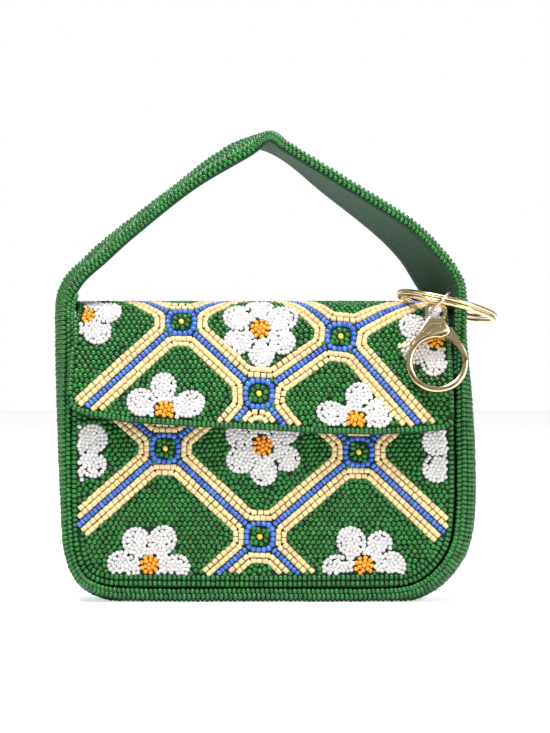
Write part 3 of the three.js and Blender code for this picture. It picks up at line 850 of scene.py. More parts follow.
@dataclass(frozen=True)
class Daisy:
    """Flower of the pattern: an orange heart, a row of white round each petal and white ground within.

    Attributes:
        place: u and v of its middle.
        turn: degrees, direction of one petal.
        petals: how many.
        reach: from the middle to a petal's middle.
        length: half a petal's length.
        width: half its width.
        heart: white beads stay this far from the middle.
        rings: radius, number and first turn of the heart's rings.
        rim: from a petal's edge to its outer row.
        web: share of the length by which the white between the petals stops short of their middles.
        pitch: distance between the outer row's beads.
        clear: distance that the heart's and the outer row's beads keep from the others.
        insets: from the edge to the last place of the outer rows and of the ground.
        strays: spread of the heart's beads and of the outer row's.
        uneven: spread of the petals' turns, degrees, and of their sizes, as a share.
    """

    place: Point
    turn: float
    petals: int = 6
    reach: float = 8.9
    length: float = 4.9
    width: float = 4.7
    heart: float = 3.75
    rings: tuple[tuple[float, int, float], ...] = ((1.5, 6, 0.3), (2.72, 9, 0.0))
    rim: float = 0.7
    web: float = 0.36
    pitch: float = 1.38
    clear: Point = (1.1, 1.12)
    insets: Point = (1.0, 1.1)
    strays: Point = (0.08, 0.06)
    uneven: Point = (3.0, 0.05)

    def add_to(self, beads: Beads, rng: np.random.Generator) -> None:
        """Sews the heart, the outer row of each petal, and the white ground.

        Args:
            beads: layout to add to.
            rng: source of the irregularities.
        """
        middle = np.array(self.place)
        rings = [
            radius * circle(np.arange(count) / count * TURN + first) for radius, count, first in self.rings
        ]
        heart = np.concatenate([[[0, 0]], *rings])
        heart = heart + rng.normal(0, self.strays[0], heart.shape)
        beads.add("orange", middle + heart, rng.uniform(0, math.pi, len(heart)), self.clear[0])
        turns = self.turn + 360 * np.arange(self.petals) / self.petals
        ways = circle(np.radians(turns + rng.normal(0, self.uneven[0], self.petals)))
        sizes = rng.normal(1, self.uneven[1], (self.petals, 2)) * (self.length, self.width)
        around = circle(np.linspace(0, TURN, 61)[:-1])
        for way, size in zip(ways, sizes):
            side = np.array([-way[1], way[0]])
            half = size - self.rim
            path = around[:, :1] * way * half[0] + (around[:, 1:] * half[1]) * side
            place, angle = lay(path, self.pitch, closed=True)
            place = middle + way * self.reach + place
            rim = ~self._in_petals(place, self.insets[0], ways, sizes)
            strays = rng.normal(0, self.strays[1], (rim.sum(), 2))
            beads.add("white", place[rim] + strays, angle[rim], self.clear[1])
        span = self.reach + self.length

        def inside(places: np.ndarray) -> np.ndarray:
            """Whether places lie in the white ground."""
            return self._in_petals(places, self.insets[1], ways, sizes)

        WHITE_GROUND.fill(beads, inside, tuple(middle - span), tuple(middle + span), rng)

    def _in_petals(
        self, places: np.ndarray, inset: float, ways: np.ndarray, sizes: np.ndarray
    ) -> np.ndarray:
        """Whether places lie in the joined petals, inset from their edge, and outside the heart.

        Args:
            places: u and v, one row each.
            inset: distance from the edge.
            ways: the petals' directions.
            sizes: each petal's half length and half width.

        Returns:
            One truth value for each place.
        """
        offset = places - np.array(self.place)
        radius = np.hypot(*offset.T)
        inside = radius < self.reach - self.length * self.web - inset
        for way, (length, width) in zip(ways, sizes):
            local = offset - way * self.reach
            along, aside = local @ way, local @ np.array([-way[1], way[0]])
            inside |= (along / (length - inset)) ** 2 + (aside / (width - inset)) ** 2 < 1
        return inside & (radius > self.heart)


@dataclass(frozen=True)
class Picture:
    """Scale of the picture, and the pixel that stands for the frame's x and z of 0."""

    pixel: float = 0.34
    x: float = 265.0
    z: float = 600.0

    def places(self, rows: tuple[Point, ...]) -> np.ndarray:
        """Frame x and z of places in the picture."""
        pixels = np.asarray(rows, float)
        return np.stack([pixels[:, 0] - self.x, self.z - pixels[:, 1]], axis=1) * self.pixel


PICTURE = Picture()


def as_places(rows: tuple[Point, ...]) -> np.ndarray:
    """Places that are in millimetres already."""
    return np.array(rows, float)


@dataclass(frozen=True)
class Trellis:
    """Pattern of a wall or the flap.

    Attributes:
        rosettes: middle, far ends of the arms, and whether each of them ends at a rosette.
        daisies: the two numbers of a place, turn, petals and reach.
    """

    rosettes: tuple[tuple[Point, tuple[Point, ...], tuple[bool, ...]], ...]
    daisies: tuple[tuple[float, float, float, int, float], ...]

    def layout(self, flat: Callable[[tuple[Point, ...]], np.ndarray], rng: np.random.Generator) -> Beads:
        """The whole pattern's beads.

        Args:
            flat: brings the tables' places to u and v.
            rng: source of the daisies' irregularities.

        Returns:
            The layout, not yet cropped.
        """
        beads = Beads()
        for place, arms, joined in self.rosettes:
            Rosette(tuple(flat((place,))[0]), tuple(map(tuple, flat(arms))), joined).add_to(beads)
        for u, v, turn, petals, reach in self.daisies:
            Daisy(tuple(flat(((u, v),))[0]), turn, petals, reach).add_to(beads, rng)
        return beads


# The front's and the flap's places are in the picture's pixels, the back's in millimetres.
FRONT_TRELLIS = Trellis((
    ((166.6, 447.1), ((110, 397), (224, 399), (80, 524), (260, 534.2)), (False, False, False, True)),
    ((260, 534.2), ((166.6, 447.1), (357.6, 450.6), (212, 577), (305, 578)), (True, True, False, False)),
    ((357.6, 450.6), ((302, 399), (414, 399), (260, 534.2), (446, 534)), (False, False, True, False)),
), (
    (262.8, 444, 30, 6, 8.9), (71, 450, 30, 6, 9.2), (458, 453, 30, 6, 9.2), (151, 562, 0, 6, 9.2),
    (363, 563, 0, 6, 9.2),
))
FLAP_TRELLIS = Trellis((
    ((182.5, 320.8), ((105, 266), (263, 264), (74, 420), (259.3, 392.3)), (False, True, False, True)),
    ((259.3, 392.3), ((182.5, 320.8), (339.9, 335.7), (228, 428), (290, 431)), (True, True, False, False)),
    ((339.9, 335.7), ((263, 264), (490, 254), (259.3, 392.3), (430, 438)), (True, False, True, False)),
    ((263, 264), ((182.5, 320.8), (339.9, 335.7), (190, 212), (336, 206)), (True, True, False, False)),
), (
    (260.5, 328, 30, 6, 8.7), (87, 314, 14, 5, 7.6), (167, 409, 18, 5, 8.4), (354, 418.5, 18, 5, 8.2),
    (433, 338, 24, 6, 8.2),
))
BACK_TRELLIS = Trellis((
    ((-33, 50), ((-66, 80), (0, 20), (-66, 20), (0, 80)), (False, True, False, True)),
    ((33, 50), ((66, 80), (0, 20), (66, 20), (0, 80)), (False, True, False, True)),
    ((0, 20), ((-33, 50), (33, 50), (-16, 5), (16, 5)), (True, True, False, False)),
    ((0, 80), ((-33, 50), (33, 50), (-14, 93), (14, 93)), (True, True, False, False)),
), tuple(
    (*row, 6, 8.9)
    for row in (
        (0, 50, 30), (-34, 82, 0), (34, 82, 0), (-34, 18, 0), (34, 18, 0), (-66, 50, 30), (66, 50, 30),
    )
))


def finish_cloth(
    piece: bpy.types.Object, node: str, finish: Finish
) -> None:
    """Lets a cloth piece take a node's place and dresses it.

    Args:
        piece: the mesh.
        node: what it stands for.
        finish: look.
    """
    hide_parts(node)
    piece.data.materials.append(finish.material())
    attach(piece, BODY)


@dataclass
class Band:
    """Gusset and handle, one closed band. u runs round it and v across it towards the back.

    Attributes:
        rise: of the handle over the body.
        lean: of the handle's face from its front edge to its back edge, sideways.
        lift: the same, upward.
        bulge: of the gusset's middle.
        power: the bulge's shape; the higher, the flatter in the middle.
        edge: from an edge to its row of beads.
        tuck: from an edge to the cloth's own edge, which that row covers.
        pitch: between beads along a row.
        lengthwise: rows of beads.
        width: flat width of the gusset's and the lining's cloth, metres; not used.
        feet: rows of the route where the handle starts and ends.
        sway: how far a lengthwise row wanders.
        sway_length: distance over which it does, divided by a turn.
        lining_edge: share of half the width that the lining covers.
        lining_depth: from the wall's inner face to the lining's two faces.
        hem: thickness that its folded edges add.
        hem_start: share of half the width where a fold starts.
        hem_slope: share over which it thickens.
    """

    rise: float = 57.0
    lean: float = 9.4
    lift: float = 0.8
    bulge: float = 4.8
    power: float = 2.6
    edge: float = 0.95
    tuck: float = 0.95
    pitch: float = 1.56
    lengthwise: int = 12
    width: Point = (0.0245, 0.0227)
    feet: Point = (8.0, 20.0)
    sway: float = 0.12
    sway_length: float = 23.0
    lining_edge: float = 0.94
    lining_depth: Point = (0.05, 0.75)
    hem: float = 0.25
    hem_start: float = 0.8
    hem_slope: float = 0.1

    def __post_init__(self) -> None:
        """Measures the route."""
        self.knots = np.stack([
            BAND_PATH[:, 0] * HALF_WIDTH,
            BASE + BAND_PATH[:, 1] * (BODY_HEIGHT - BASE) + BAND_PATH[:, 2] * self.rise,
            BAND_PATH[:, 3],
            BAND_PATH[:, 4] * self.bulge,
        ], axis=1)
        self.rows = np.linspace(0, len(self.knots), 2801)
        self.along = even_along(self.place(self.rows, 0.7, WALL / 2))
        self.length = self.along[-1]
        self.surface = Surface(self.point, -1)

    def place(self, at: np.ndarray, across: np.ndarray, out: float) -> np.ndarray:
        """Point of the band.

        It stands off the route, square to it, by out and by the bulge, which falls from the middle to
        nothing at the edges by a power of the share across. The lean tips it from edge to edge.

        Args:
            at: row of the route.
            across: -1 at the front edge to 1 at the back.
            out: distance outward from the middle of the wall.

        Returns:
            Points, one row each.
        """
        at, across = np.broadcast_arrays(np.asarray(at, float), np.asarray(across, float))
        x, z, lean, bulge = np.moveaxis(through(self.knots, at, True), -1, 0)
        ahead = through(self.knots, at + STEP, True)
        length = np.hypot(ahead[..., 0] - x, ahead[..., 1] - z)
        offset = out + bulge * (1 - np.minimum(np.abs(across), 1) ** self.power)
        height = z - across * lean * self.lift / 2 - (ahead[..., 0] - x) / length * offset
        return np.stack([
            x - across * lean * self.lean / 2 + (ahead[..., 1] - z) / length * offset,
            across * HALF_BAND,
            np.maximum(height, WALL / 2 - out),
        ], axis=-1)

    def point(self, u: np.ndarray, v: np.ndarray, depth: float) -> np.ndarray:
        """Points under the outer face at u and v."""
        at = np.interp(np.mod(u, self.length), self.along, self.rows)
        return self.place(at, np.asarray(v) / HALF_BAND, WALL / 2 - depth)

    def along_at(self, row: float) -> float:
        """u at a row of the route."""
        return float(np.interp(row, self.rows, self.along))

    def reach(self, right: bool, across: float, height: np.ndarray, out: float) -> np.ndarray:
        """How far the space inside the band reaches at a height, on its right or left.

        Args:
            right: which side.
            across: -1 at the front edge to 1 at the back.
            height: one or more heights.
            out: distance outward from the middle of the wall.

        Returns:
            x at each height.
        """
        turn = 1 if right else -1
        points = self.place(turn * np.arange(HANDLE_TOP_ROW * 12 + 1) / 12, across, out)
        heights = np.maximum.accumulate(points[:, 2]) + 1e-7 * np.arange(len(points))
        return np.interp(height, heights, points[:, 0])

    def reach_at(self, right: bool, across: np.ndarray, heights: np.ndarray, out: float) -> np.ndarray:
        """The same for pairs of across and height, read from a grid over across.

        Args:
            right: which side.
            across: one value for each height.
            heights: the heights.
            out: distance outward from the middle of the wall.

        Returns:
            x for each pair.
        """
        stops = np.linspace(-1, 1, 17)
        table = np.stack([self.reach(right, stop, heights, out) for stop in stops])
        place = (across + 1) / 2 * (len(stops) - 1)
        low = np.clip(np.floor(place).astype(int), 0, len(stops) - 2)
        share = place - low
        each = np.arange(len(heights))
        return table[low, each] * (1 - share) + table[low + 1, each] * share

    def row_of_beads(self, start: float, end: float, rng: np.random.Generator) -> np.ndarray:
        """u of a row's beads, with a phase of its own."""
        count = int((end - start) / self.pitch)
        return start + (np.arange(count) + rng.uniform(0, 1)) * (end - start) / count

    def edge_beads(self, start: float, end: float, rng: np.random.Generator) -> Beads:
        """Layout of the inner rows that close the band's two edges.

        Args:
            start: u of the first bead.
            end: u after the last one.
            rng: source of the rows' phases.

        Returns:
            The layout.
        """
        beads = Beads()
        for v in (-HALF_BAND + self.edge, HALF_BAND - self.edge):
            u = self.row_of_beads(start, end, rng)
            beads.add("seam", np.stack([u, np.full(len(u), v)], 1), 0.0)
        return beads

    def face_beads(self, start: float, end: float, rng: np.random.Generator) -> Beads:
        """Layout of a stretch of the outer face: lengthwise rows that sway a little between the edges.

        Args:
            start: u of the first bead.
            end: u after the last one.
            rng: source of the rows' phases.

        Returns:
            The layout.
        """
        beads = Beads()
        for v in np.linspace(-HALF_BAND + self.edge, HALF_BAND - self.edge, self.lengthwise):
            u = self.row_of_beads(start, end, rng)
            sway = self.sway * np.sin(u / self.sway_length + rng.uniform(0, 6))
            edge = abs(v) > HALF_BAND - self.edge - self.pitch / 4
            beads.add("border" if edge else "green", np.stack([u, v + (0 if edge else 1) * sway], 1), 0.0)
        return beads

    def build_cloth(self) -> None:
        """Gusset and handle under their beads."""
        u = np.linspace(0, self.length, 421)[:-1]
        v = np.linspace(HALF_BAND - self.tuck, -HALF_BAND + self.tuck, 25)
        grid_u, grid_v = np.meshgrid(u, v)
        faces = (self.point(grid_u, grid_v, depth) for depth in (CLOTH_SINK, WALL))
        piece = cloth_wall("gusset_cloth", *faces, loop=True)
        finish_cloth(piece, "gusset_strap", BACKING)

    def build_lining(self) -> None:
        """The cloth inside the handle, with folded edges."""
        rows = np.linspace(0, HANDLE_TOP_ROW, 1401)
        start, end = (
            float(np.interp(LINING_END, through(self.knots, sign * rows, True)[:, 1], rows)) * sign
            for sign in (1, -1)
        )
        across = np.linspace(self.lining_edge, -self.lining_edge, 15)
        grid_at, grid_across = np.meshgrid(np.linspace(start, end + len(self.knots), 200), across)
        top = self.place(grid_at, grid_across, -WALL / 2 - self.lining_depth[0])
        hems = np.clip((np.abs(across) - self.hem_start) / self.hem_slope, 0, 1) * self.hem
        low = np.stack([
            self.place(at, share, -WALL / 2 - self.lining_depth[1] - hem)
            for at, share, hem in zip(grid_at, grid_across, hems)
        ])
        piece = cloth_wall("handle_lining_cloth", top, low)
        finish_cloth(piece, "handle_lining", LINING)

    def build_beads(self) -> None:
        """Sews the handle, the gusset, their edges and the corners where panels, flap and handle meet."""
        right, left = (self.along_at(row) for row in self.feet)
        round_again = right + self.length
        for name, layout, start, end, draw, seed, deeper in (
            ("handle", self.face_beads, right, left, 13, 3, 0.0),
            ("gusset", self.face_beads, left, round_again, 14, 4, 0.0),
            ("gusset_edge", self.edge_beads, left, round_again, 16, 6, 1.6),
            ("handle_edge", self.edge_beads, right, left, 18, 8, 1.25),
        ):
            NEEDLE.sew(name, layout(start, end, np.random.default_rng(draw)), self.surface, seed, deeper)
        for side, start, end, seed, deeper in (("right", 6.6, 8.3, 17, 2.7), ("left", 19.6, 21.4, 19, 3.0)):
            corner = self.edge_beads(self.along_at(start), self.along_at(end), np.random.default_rng(seed))
            corner.keep(corner.place[:, 1] < 0)
            NEEDLE.sew(f"gusset_corner_{side}", corner, self.surface, seed, deeper)


@dataclass
class Panel:
    """Front or back wall. u and v are the frame's x and z.

    Attributes:
        band: what it is seamed to.
        name: front or back.
        turn: -1 for the front, 1 for the back.
        top: height of its upper edge.
        sewn_to: height up to which it is beaded.
        trellis: its pattern.
        flat: brings the pattern's places to u and v.
        insets: distance of the border rows from the edge; all but the first only run along the bottom.
        short: how far below sewn_to the pattern stops.
        dome: how far the wall stands out in the middle.
        dome_power: the dome's shape; the higher, the flatter.
        pinch: how far the wall draws in at the top.
        pinch_start: share of the body's height where that starts.
        pitch: distance between the border's beads.
        low_rows: height up to which the inner border rows run.
        crop: from the edge to the pattern, and to the green ground.
        clear: distance that the pattern keeps from the border's beads.
    """

    band: Band
    name: str
    turn: int
    top: float
    sewn_to: float
    trellis: Trellis
    flat: Callable[[tuple[Point, ...]], np.ndarray]
    insets: tuple[float, ...] = (1.05,)
    short: float = 0.0
    dome: float = 2.2
    dome_power: float = 2.4
    pinch: float = 3.6
    pinch_start: float = 0.55
    pitch: float = 1.62
    low_rows: float = 22.0
    crop: Point = (2.2, 2.0)
    clear: float = 1.45

    def __post_init__(self) -> None:
        """Notes the face that beads and cloth are laid on."""
        self.surface = Surface(self.point, -self.turn)

    def sides(self, height: np.ndarray) -> tuple[np.ndarray, np.ndarray]:
        """Left and right side at a height: as near as the band comes over the outer half of its width.

        Args:
            height: one or more heights.

        Returns:
            x of the left side and of the right side.
        """
        shares = np.linspace(self.turn, self.turn * 0.5, 5)
        left, right = (
            [self.band.reach(side, share, height, PANEL_OUT) for share in shares] for side in (False, True)
        )
        return np.max(left, axis=0), np.min(right, axis=0)

    def point(self, u: np.ndarray, v: np.ndarray, depth: float) -> np.ndarray:
        """Points under the outer face at u and v: a dome over both shares, less the pinch at the top.

        Args:
            u: one value for each point.
            v: the same.
            depth: how far under the outer face.

        Returns:
            Points, one row each.
        """
        left, right = self.sides(v)
        share = np.clip((u - left) / (right - left), 0, 1)
        up = np.clip((v - SEAM_HEIGHT) / (self.top - SEAM_HEIGHT), 0, 1)
        dome = (1 - np.abs(2 * share - 1) ** self.dome_power) * (1 - np.abs(2 * up - 1) ** self.dome_power)
        drawn = np.clip((v / BODY_HEIGHT - self.pinch_start) / (1 - self.pinch_start), 0, 1)
        pinch = self.pinch * drawn**3 * (drawn * (6 * drawn - 15) + 10)
        return np.stack([u, self.turn * (HALF_BAND - pinch + self.dome * dome - depth), v], axis=-1)

    def outline(self, top: float, inset: float) -> np.ndarray:
        """Path down the left side, along the bottom and up the right side, inset from the edge.

        Args:
            top: height where it starts and ends.
            inset: distance from the edge.

        Returns:
            u and v, one row each, at even steps.
        """
        heights = np.linspace(top, SEAM_HEIGHT, 160)
        left, right = self.sides(heights)
        path = np.concatenate([np.stack([left, heights], 1), np.stack([right, heights], 1)[::-1]])
        along = even_along(path)
        path = at_distance(path, along, np.linspace(0, along[-1], int(along[-1] / 0.4)))
        step = np.gradient(path, axis=0)
        normal = np.stack([-step[:, 1], step[:, 0]], 1)
        normal /= np.hypot(*normal.T)[:, None]
        moved = path + normal * inset
        return moved[nearest(moved, path) > inset * 0.93]

    def inside(self, inset: float) -> Inside:
        """Test of whether places lie in the beaded ground, at least inset from the wall's edge.

        Args:
            inset: distance from the wall's edge.

        Returns:
            A function from places to truth values.
        """
        outline = self.outline(FRONT_TOP, 0.01)

        def test(places: np.ndarray) -> np.ndarray:
            """Whether places lie there.

            Args:
                places: u and v, one row each.

            Returns:
                One truth value for each place.
            """
            left, right = self.sides(places[:, 1])
            within = (places[:, 0] > left) & (places[:, 0] < right)
            within &= (places[:, 1] > SEAM_HEIGHT) & (places[:, 1] < self.sewn_to - self.short)
            return within & (nearest(places, outline) > inset)

        return test

    def build_cloth(self) -> None:
        """The wall under its beads."""
        heights = np.linspace(SEAM_HEIGHT + 0.04, self.top - 0.15, 60)
        left, right = self.sides(heights)
        shares = np.linspace(0, 1, 70)[None, :]
        u = (left[:, None] + 0.1) * (1 - shares) + (right[:, None] - 0.1) * shares
        v = np.broadcast_to(heights[:, None], u.shape)
        if self.turn > 0:
            u = u[:, ::-1]
        piece = cloth_wall(f"{self.name}_cloth", *(self.point(u, v, depth) for depth in (CLOTH_SINK, WALL)))
        finish_cloth(piece, f"{self.name}_panel", BACKING)

    def build_beads(self, draw: int, seed: int) -> None:
        """Sews the wall.

        Args:
            draw: seed of the layout.
            seed: seed of the beads' small differences.
        """
        rng = np.random.default_rng(draw)
        beads = Beads()
        for inset in self.insets:
            place, angle = lay(self.outline(self.sewn_to, inset), self.pitch)
            shown = place[:, 1] < (np.inf if inset == self.insets[0] else self.low_rows)
            beads.add("border", place[shown], angle[shown])
        beads.join(self.trellis.layout(self.flat, rng), self.inside(self.crop[0]), self.clear)
        GREEN_GROUND.fill(beads, self.inside(self.crop[1]), GROUND_LOW, (GROUND_RIGHT, self.sewn_to), rng)
        NEEDLE.sew(self.name, beads, self.surface, seed)


@dataclass
class Flap:
    """The flap. u is x, and v the way back up from the profile's end.

    Attributes:
        band: what its sides keep clear of.
        top: height of its crest.
        reach: how far its face stands in front of the bag's middle.
        end: height where its profile ends, below the lower edge.
        crown: how much further its middle stands out.
        crest: places of the picture above this height lie further back over the top.
        side_gaps: room at the sides, in gaps.
        room: walls below the lining's end between which the sides make room for it.
        front_row: from here on the profile falls along the front.
        hem_row: row, from the end, whose width the lower edge is measured by.
        rim: from the lower edge to its row of beads.
        side_rim: the same for the sides.
        seam_rim: the same for the back seam.
        pitch: distance between the border's beads.
        border_clear: distance that they keep from each other where rows meet.
        crop: from the sides, the lower edge and the seam's row to the pattern and the green ground.
        clear: distance that the pattern keeps from the border's beads.
        ground_low: height where the search for ground starts.
        flat_height: flat size from the seam to the lower edge, metres; not used.
    """

    band: Band
    top: float = BODY_HEIGHT + 1.8
    reach: float = HALF_BAND + 8.4
    end: float = BODY_HEIGHT / 2
    crown: float = 0.8
    crest: float = BODY_HEIGHT + 1.5
    side_gaps: float = 1.1
    room: Point = (1.8, 1.3)
    front_row: int = 200
    hem_row: int = -150
    rim: float = 1.2
    side_rim: float = 1.15
    seam_rim: float = 1.1
    pitch: float = 1.5
    border_clear: float = 0.9
    crop: tuple[float, float, float] = (1.6, 2.0, 0.9)
    clear: float = 1.4
    ground_low: float = 56.5
    flat_height: float = 0.071

    def __post_init__(self) -> None:
        """Measures the profile and both sides."""
        seam = (0.5, (BACK_TOP + GAP - self.end) / (self.top - self.end))
        profile = np.array([seam, *FLAP_PROFILE])
        heights = self.end + profile[:, 1] * (self.top - self.end)
        self.knots = np.stack([profile[:, 0] * self.reach, heights], axis=1)
        self.rows = np.linspace(0, len(self.knots) - 1, 561)
        outer = self.profile(self.rows, 0)
        self.down = even_along(outer)
        self.length = self.down[-1]
        self.heights = outer[:, 1]
        inner = self.profile(self.rows, WALL)
        self.left, self.right = (self._side(right, inner) for right in (False, True))
        self.surface = Surface(self.point)

    def profile(self, at: np.ndarray, depth: float) -> np.ndarray:
        """y and z at a row of the profile, moved inward by depth.

        Args:
            at: row of the profile.
            depth: how far under the outer face.

        Returns:
            y and z, one row each.
        """
        here = through(self.knots, at, False)
        ahead = through(self.knots, np.minimum(at + STEP, len(self.knots) - 1), False)
        step = ahead - through(self.knots, np.maximum(at - STEP, 0), False)
        step /= np.hypot(step[..., 0], step[..., 1])[..., None]
        return np.stack([here[..., 0] - depth * step[..., 1], here[..., 1] + depth * step[..., 0]], axis=-1)

    def _side(self, right: bool, inner: np.ndarray) -> np.ndarray:
        """Left or right side at each row of the profile, held back by the band and its lining.

        Args:
            right: which side.
            inner: y and z of the flap's inner face.

        Returns:
            x at each row.
        """
        shares = (inner[:, 1] - self.end) / (self.top - self.end)
        wanted = np.interp(shares, FLAP_SIDES[:, 0], FLAP_SIDES[:, 2 if right else 1]) * HALF_WIDTH
        start, stop = self.room
        lined = ease(np.clip((inner[:, 1] - LINING_END + start * WALL) / ((start - stop) * WALL), 0, 1))
        bare, covered = (
            self._limit(right, inner, -WALL / 2 - self.side_gaps * GAP - more)
            for more in (0, LINING_WALL + GAP)
        )
        limit = bare + (covered - bare) * lined
        held = np.minimum(wanted, limit) if right else np.maximum(wanted, limit)
        return np.where(np.abs(inner[:, 0]) > HALF_BAND + GAP, wanted, held)

    def _limit(self, right: bool, inner: np.ndarray, out: float) -> np.ndarray:
        """How far the band lets a side reach, over the flap's thickness and a little more.

        Args:
            right: which side.
            inner: y and z of the flap's inner face.
            out: distance outward from the middle of the band's wall.

        Returns:
            x at each row.
        """
        reaches = np.stack([
            self.band.reach_at(right, np.clip((inner[:, 0] + more) / HALF_BAND, -1, 1), inner[:, 1], out)
            for more in np.linspace(-2 * WALL, 2 * WALL, 5)
        ])
        return reaches.min(axis=0) if right else reaches.max(axis=0)

    def rise(self, height: np.ndarray) -> np.ndarray:
        """v where the front of the flap passes a height."""
        heights, down = self.heights[self.front_row:], self.down[self.front_row:]
        return self.length - np.interp(-np.asarray(height, float), -heights, down)

    def sides(self, v: np.ndarray) -> tuple[np.ndarray, ...]:
        """Left and right side at v."""
        return tuple(np.interp(self.length - v, self.down, side) for side in (self.left, self.right))

    def hem_at(self, share: np.ndarray) -> np.ndarray:
        """v of the lower edge at a share of the way across."""
        return self.rise(np.interp(share, FLAP_HEM[:, 0], FLAP_HEM[:, 1]) * BODY_HEIGHT)

    def hem(self, u: np.ndarray) -> np.ndarray:
        """v of the lower edge at u."""
        left, right = self.left[self.hem_row], self.right[self.hem_row]
        return self.hem_at((np.asarray(u) - left) / (right - left))

    def point(self, u: np.ndarray, v: np.ndarray, depth: float) -> np.ndarray:
        """Points under the outer face at u and v: the profile, and a crown across that fades in further down.

        Args:
            u: one value for each point.
            v: the same.
            depth: how far under the outer face.

        Returns:
            Points, one row each.
        """
        u, v = np.broadcast_arrays(np.asarray(u, float), np.asarray(v, float))
        at = np.interp(self.length - v, self.down, self.rows)
        profile = self.profile(at, depth)
        left, right = self.sides(v)
        share = np.clip((u - left) / (right - left), 0, 1)
        crown = self.crown * (1 - (2 * share - 1) ** 2) * ease(np.clip((at - 6) / 3, 0, 1))
        return np.stack([u, profile[..., 0] - crown, profile[..., 1]], axis=-1)

    def flat(self, rows: tuple[Point, ...]) -> np.ndarray:
        """u and v of places in the picture; above the crest they lie further back over the top."""
        places = PICTURE.places(rows)
        over = np.maximum(places[:, 1] - self.crest, 0)
        return np.stack([places[:, 0], self.rise(places[:, 1] - over) + over], axis=1)

    def build_cloth(self) -> None:
        """The flap under its beads, from its back seam to its lower edge."""
        left_end, right_end = (0, 0.006, 0.015, 0.03), (0.97, 0.985, 0.994, 1)
        shares = np.concatenate([left_end, np.linspace(0.05, 0.95, 60), right_end])
        hems = self.hem_at(shares)[None, :] + 0.1
        v = hems + (self.length - 0.1 - hems) * np.linspace(0, 1, 80)[:, None]
        left, right = self.sides(v)
        u = (left + 0.12) * (1 - shares) + (right - 0.12) * shares
        piece = cloth_wall("flap_cloth", self.point(u, v, CLOTH_SINK), self.point(u, v, WALL - 0.1))
        finish_cloth(piece, "flap", BACKING)

    def border_paths(self, seam: float) -> list[np.ndarray]:
        """Paths of the border rows: lower edge, left, right and back seam.

        Args:
            seam: v of the back seam's row.

        Returns:
            u and v of each path, one row each.
        """
        hem_left, hem_right = (side[0] for side in self.sides(self.hem(np.array([0.0]))))
        u = np.linspace(self.left.min() + 1, self.right.max() - 1, 260)
        u = np.clip(u, hem_left + self.rim, hem_right - self.rim)
        hem = np.stack([u, self.hem(u) + self.rim], axis=1)
        v_left, v_right = (np.linspace(end[1] + 2 * self.rim, seam, 90) for end in (hem[0], hem[-1]))
        left, right = self.sides(v_left)[0], self.sides(v_right)[1]
        back = np.linspace(left[-1] + 2.6, right[-1] - 2.6, 90)
        flat = (left + self.side_rim, v_left), (right - self.side_rim, v_right), (back, np.full(90, seam))
        return [hem, *[np.stack(path, 1) for path in flat]]

    def build_beads(self, draw: int, seed: int) -> None:
        """Sews the flap, over the top to its seam at the back.

        Args:
            draw: seed of the layout.
            seed: seed of the beads' small differences.
        """
        rng = np.random.default_rng(draw)
        seam = self.length - self.seam_rim
        side, low, high = self.crop

        def inside(places: np.ndarray) -> np.ndarray:
            """Whether places lie in the ground within the border rows."""
            left, right = self.sides(places[:, 1])
            within = (places[:, 0] > left + side) & (places[:, 0] < right - side)
            return within & (places[:, 1] > self.hem(places[:, 0]) + low) & (places[:, 1] < seam - high)

        beads = Beads()
        for path in self.border_paths(seam):
            place, angle = lay(path, self.pitch)
            beads.add("border", place, angle, self.border_clear)
        beads.join(FLAP_TRELLIS.layout(self.flat, rng), inside, self.clear)
        start = (GROUND_LOW[0], float(self.rise(self.ground_low)))
        GREEN_GROUND.fill(beads, inside, start, (GROUND_RIGHT, seam), rng)
        NEEDLE.sew("flap", beads, self.surface, seed)


@dataclass(frozen=True)
class Hardware:
    """A metal node of the frame.

    Attributes:
        node: its name.
        bevel: width of the rounded edges, or 0.
        smooth: rounds of subdivision, for wire.
        finish: look.
    """

    node: str
    bevel: float = 0.0
    smooth: int = 0
    finish: Finish = GOLD

    def dress(self) -> None:
        """Gives the node its plate, and rounds its edges or smooths its wire."""
        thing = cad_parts[self.node]
        thing.data.materials.clear()
        thing.data.materials.append(self.finish.material())
        weld = thing.modifiers.new("joined_corners", "WELD")
        weld.merge_threshold = 0.00001
        if self.bevel:
            edge = thing.modifiers.new("rounded_edges", "BEVEL")
            edge.width = self.bevel * MM
            edge.segments = 3
            edge.limit_method = "ANGLE"
            edge.angle_limit = math.radians(35)
            edge.harden_normals = False
        if self.smooth:
            wire = thing.modifiers.new("smooth_wire", "SUBSURF")
            wire.levels = wire.render_levels = self.smooth
        thing.data.polygons.foreach_set("use_smooth", np.full(len(thing.data.polygons), True))


HARDWARE = (
    Hardware("key_ring", smooth=1), Hardware("link_ring", smooth=2, finish=ROSE_GOLD),
    Hardware("clasp_body", 0.42), Hardware("clasp_lever", 0.3), Hardware("lever_pin", 0.1),
    Hardware("magnetic_snap", 0.3),
)


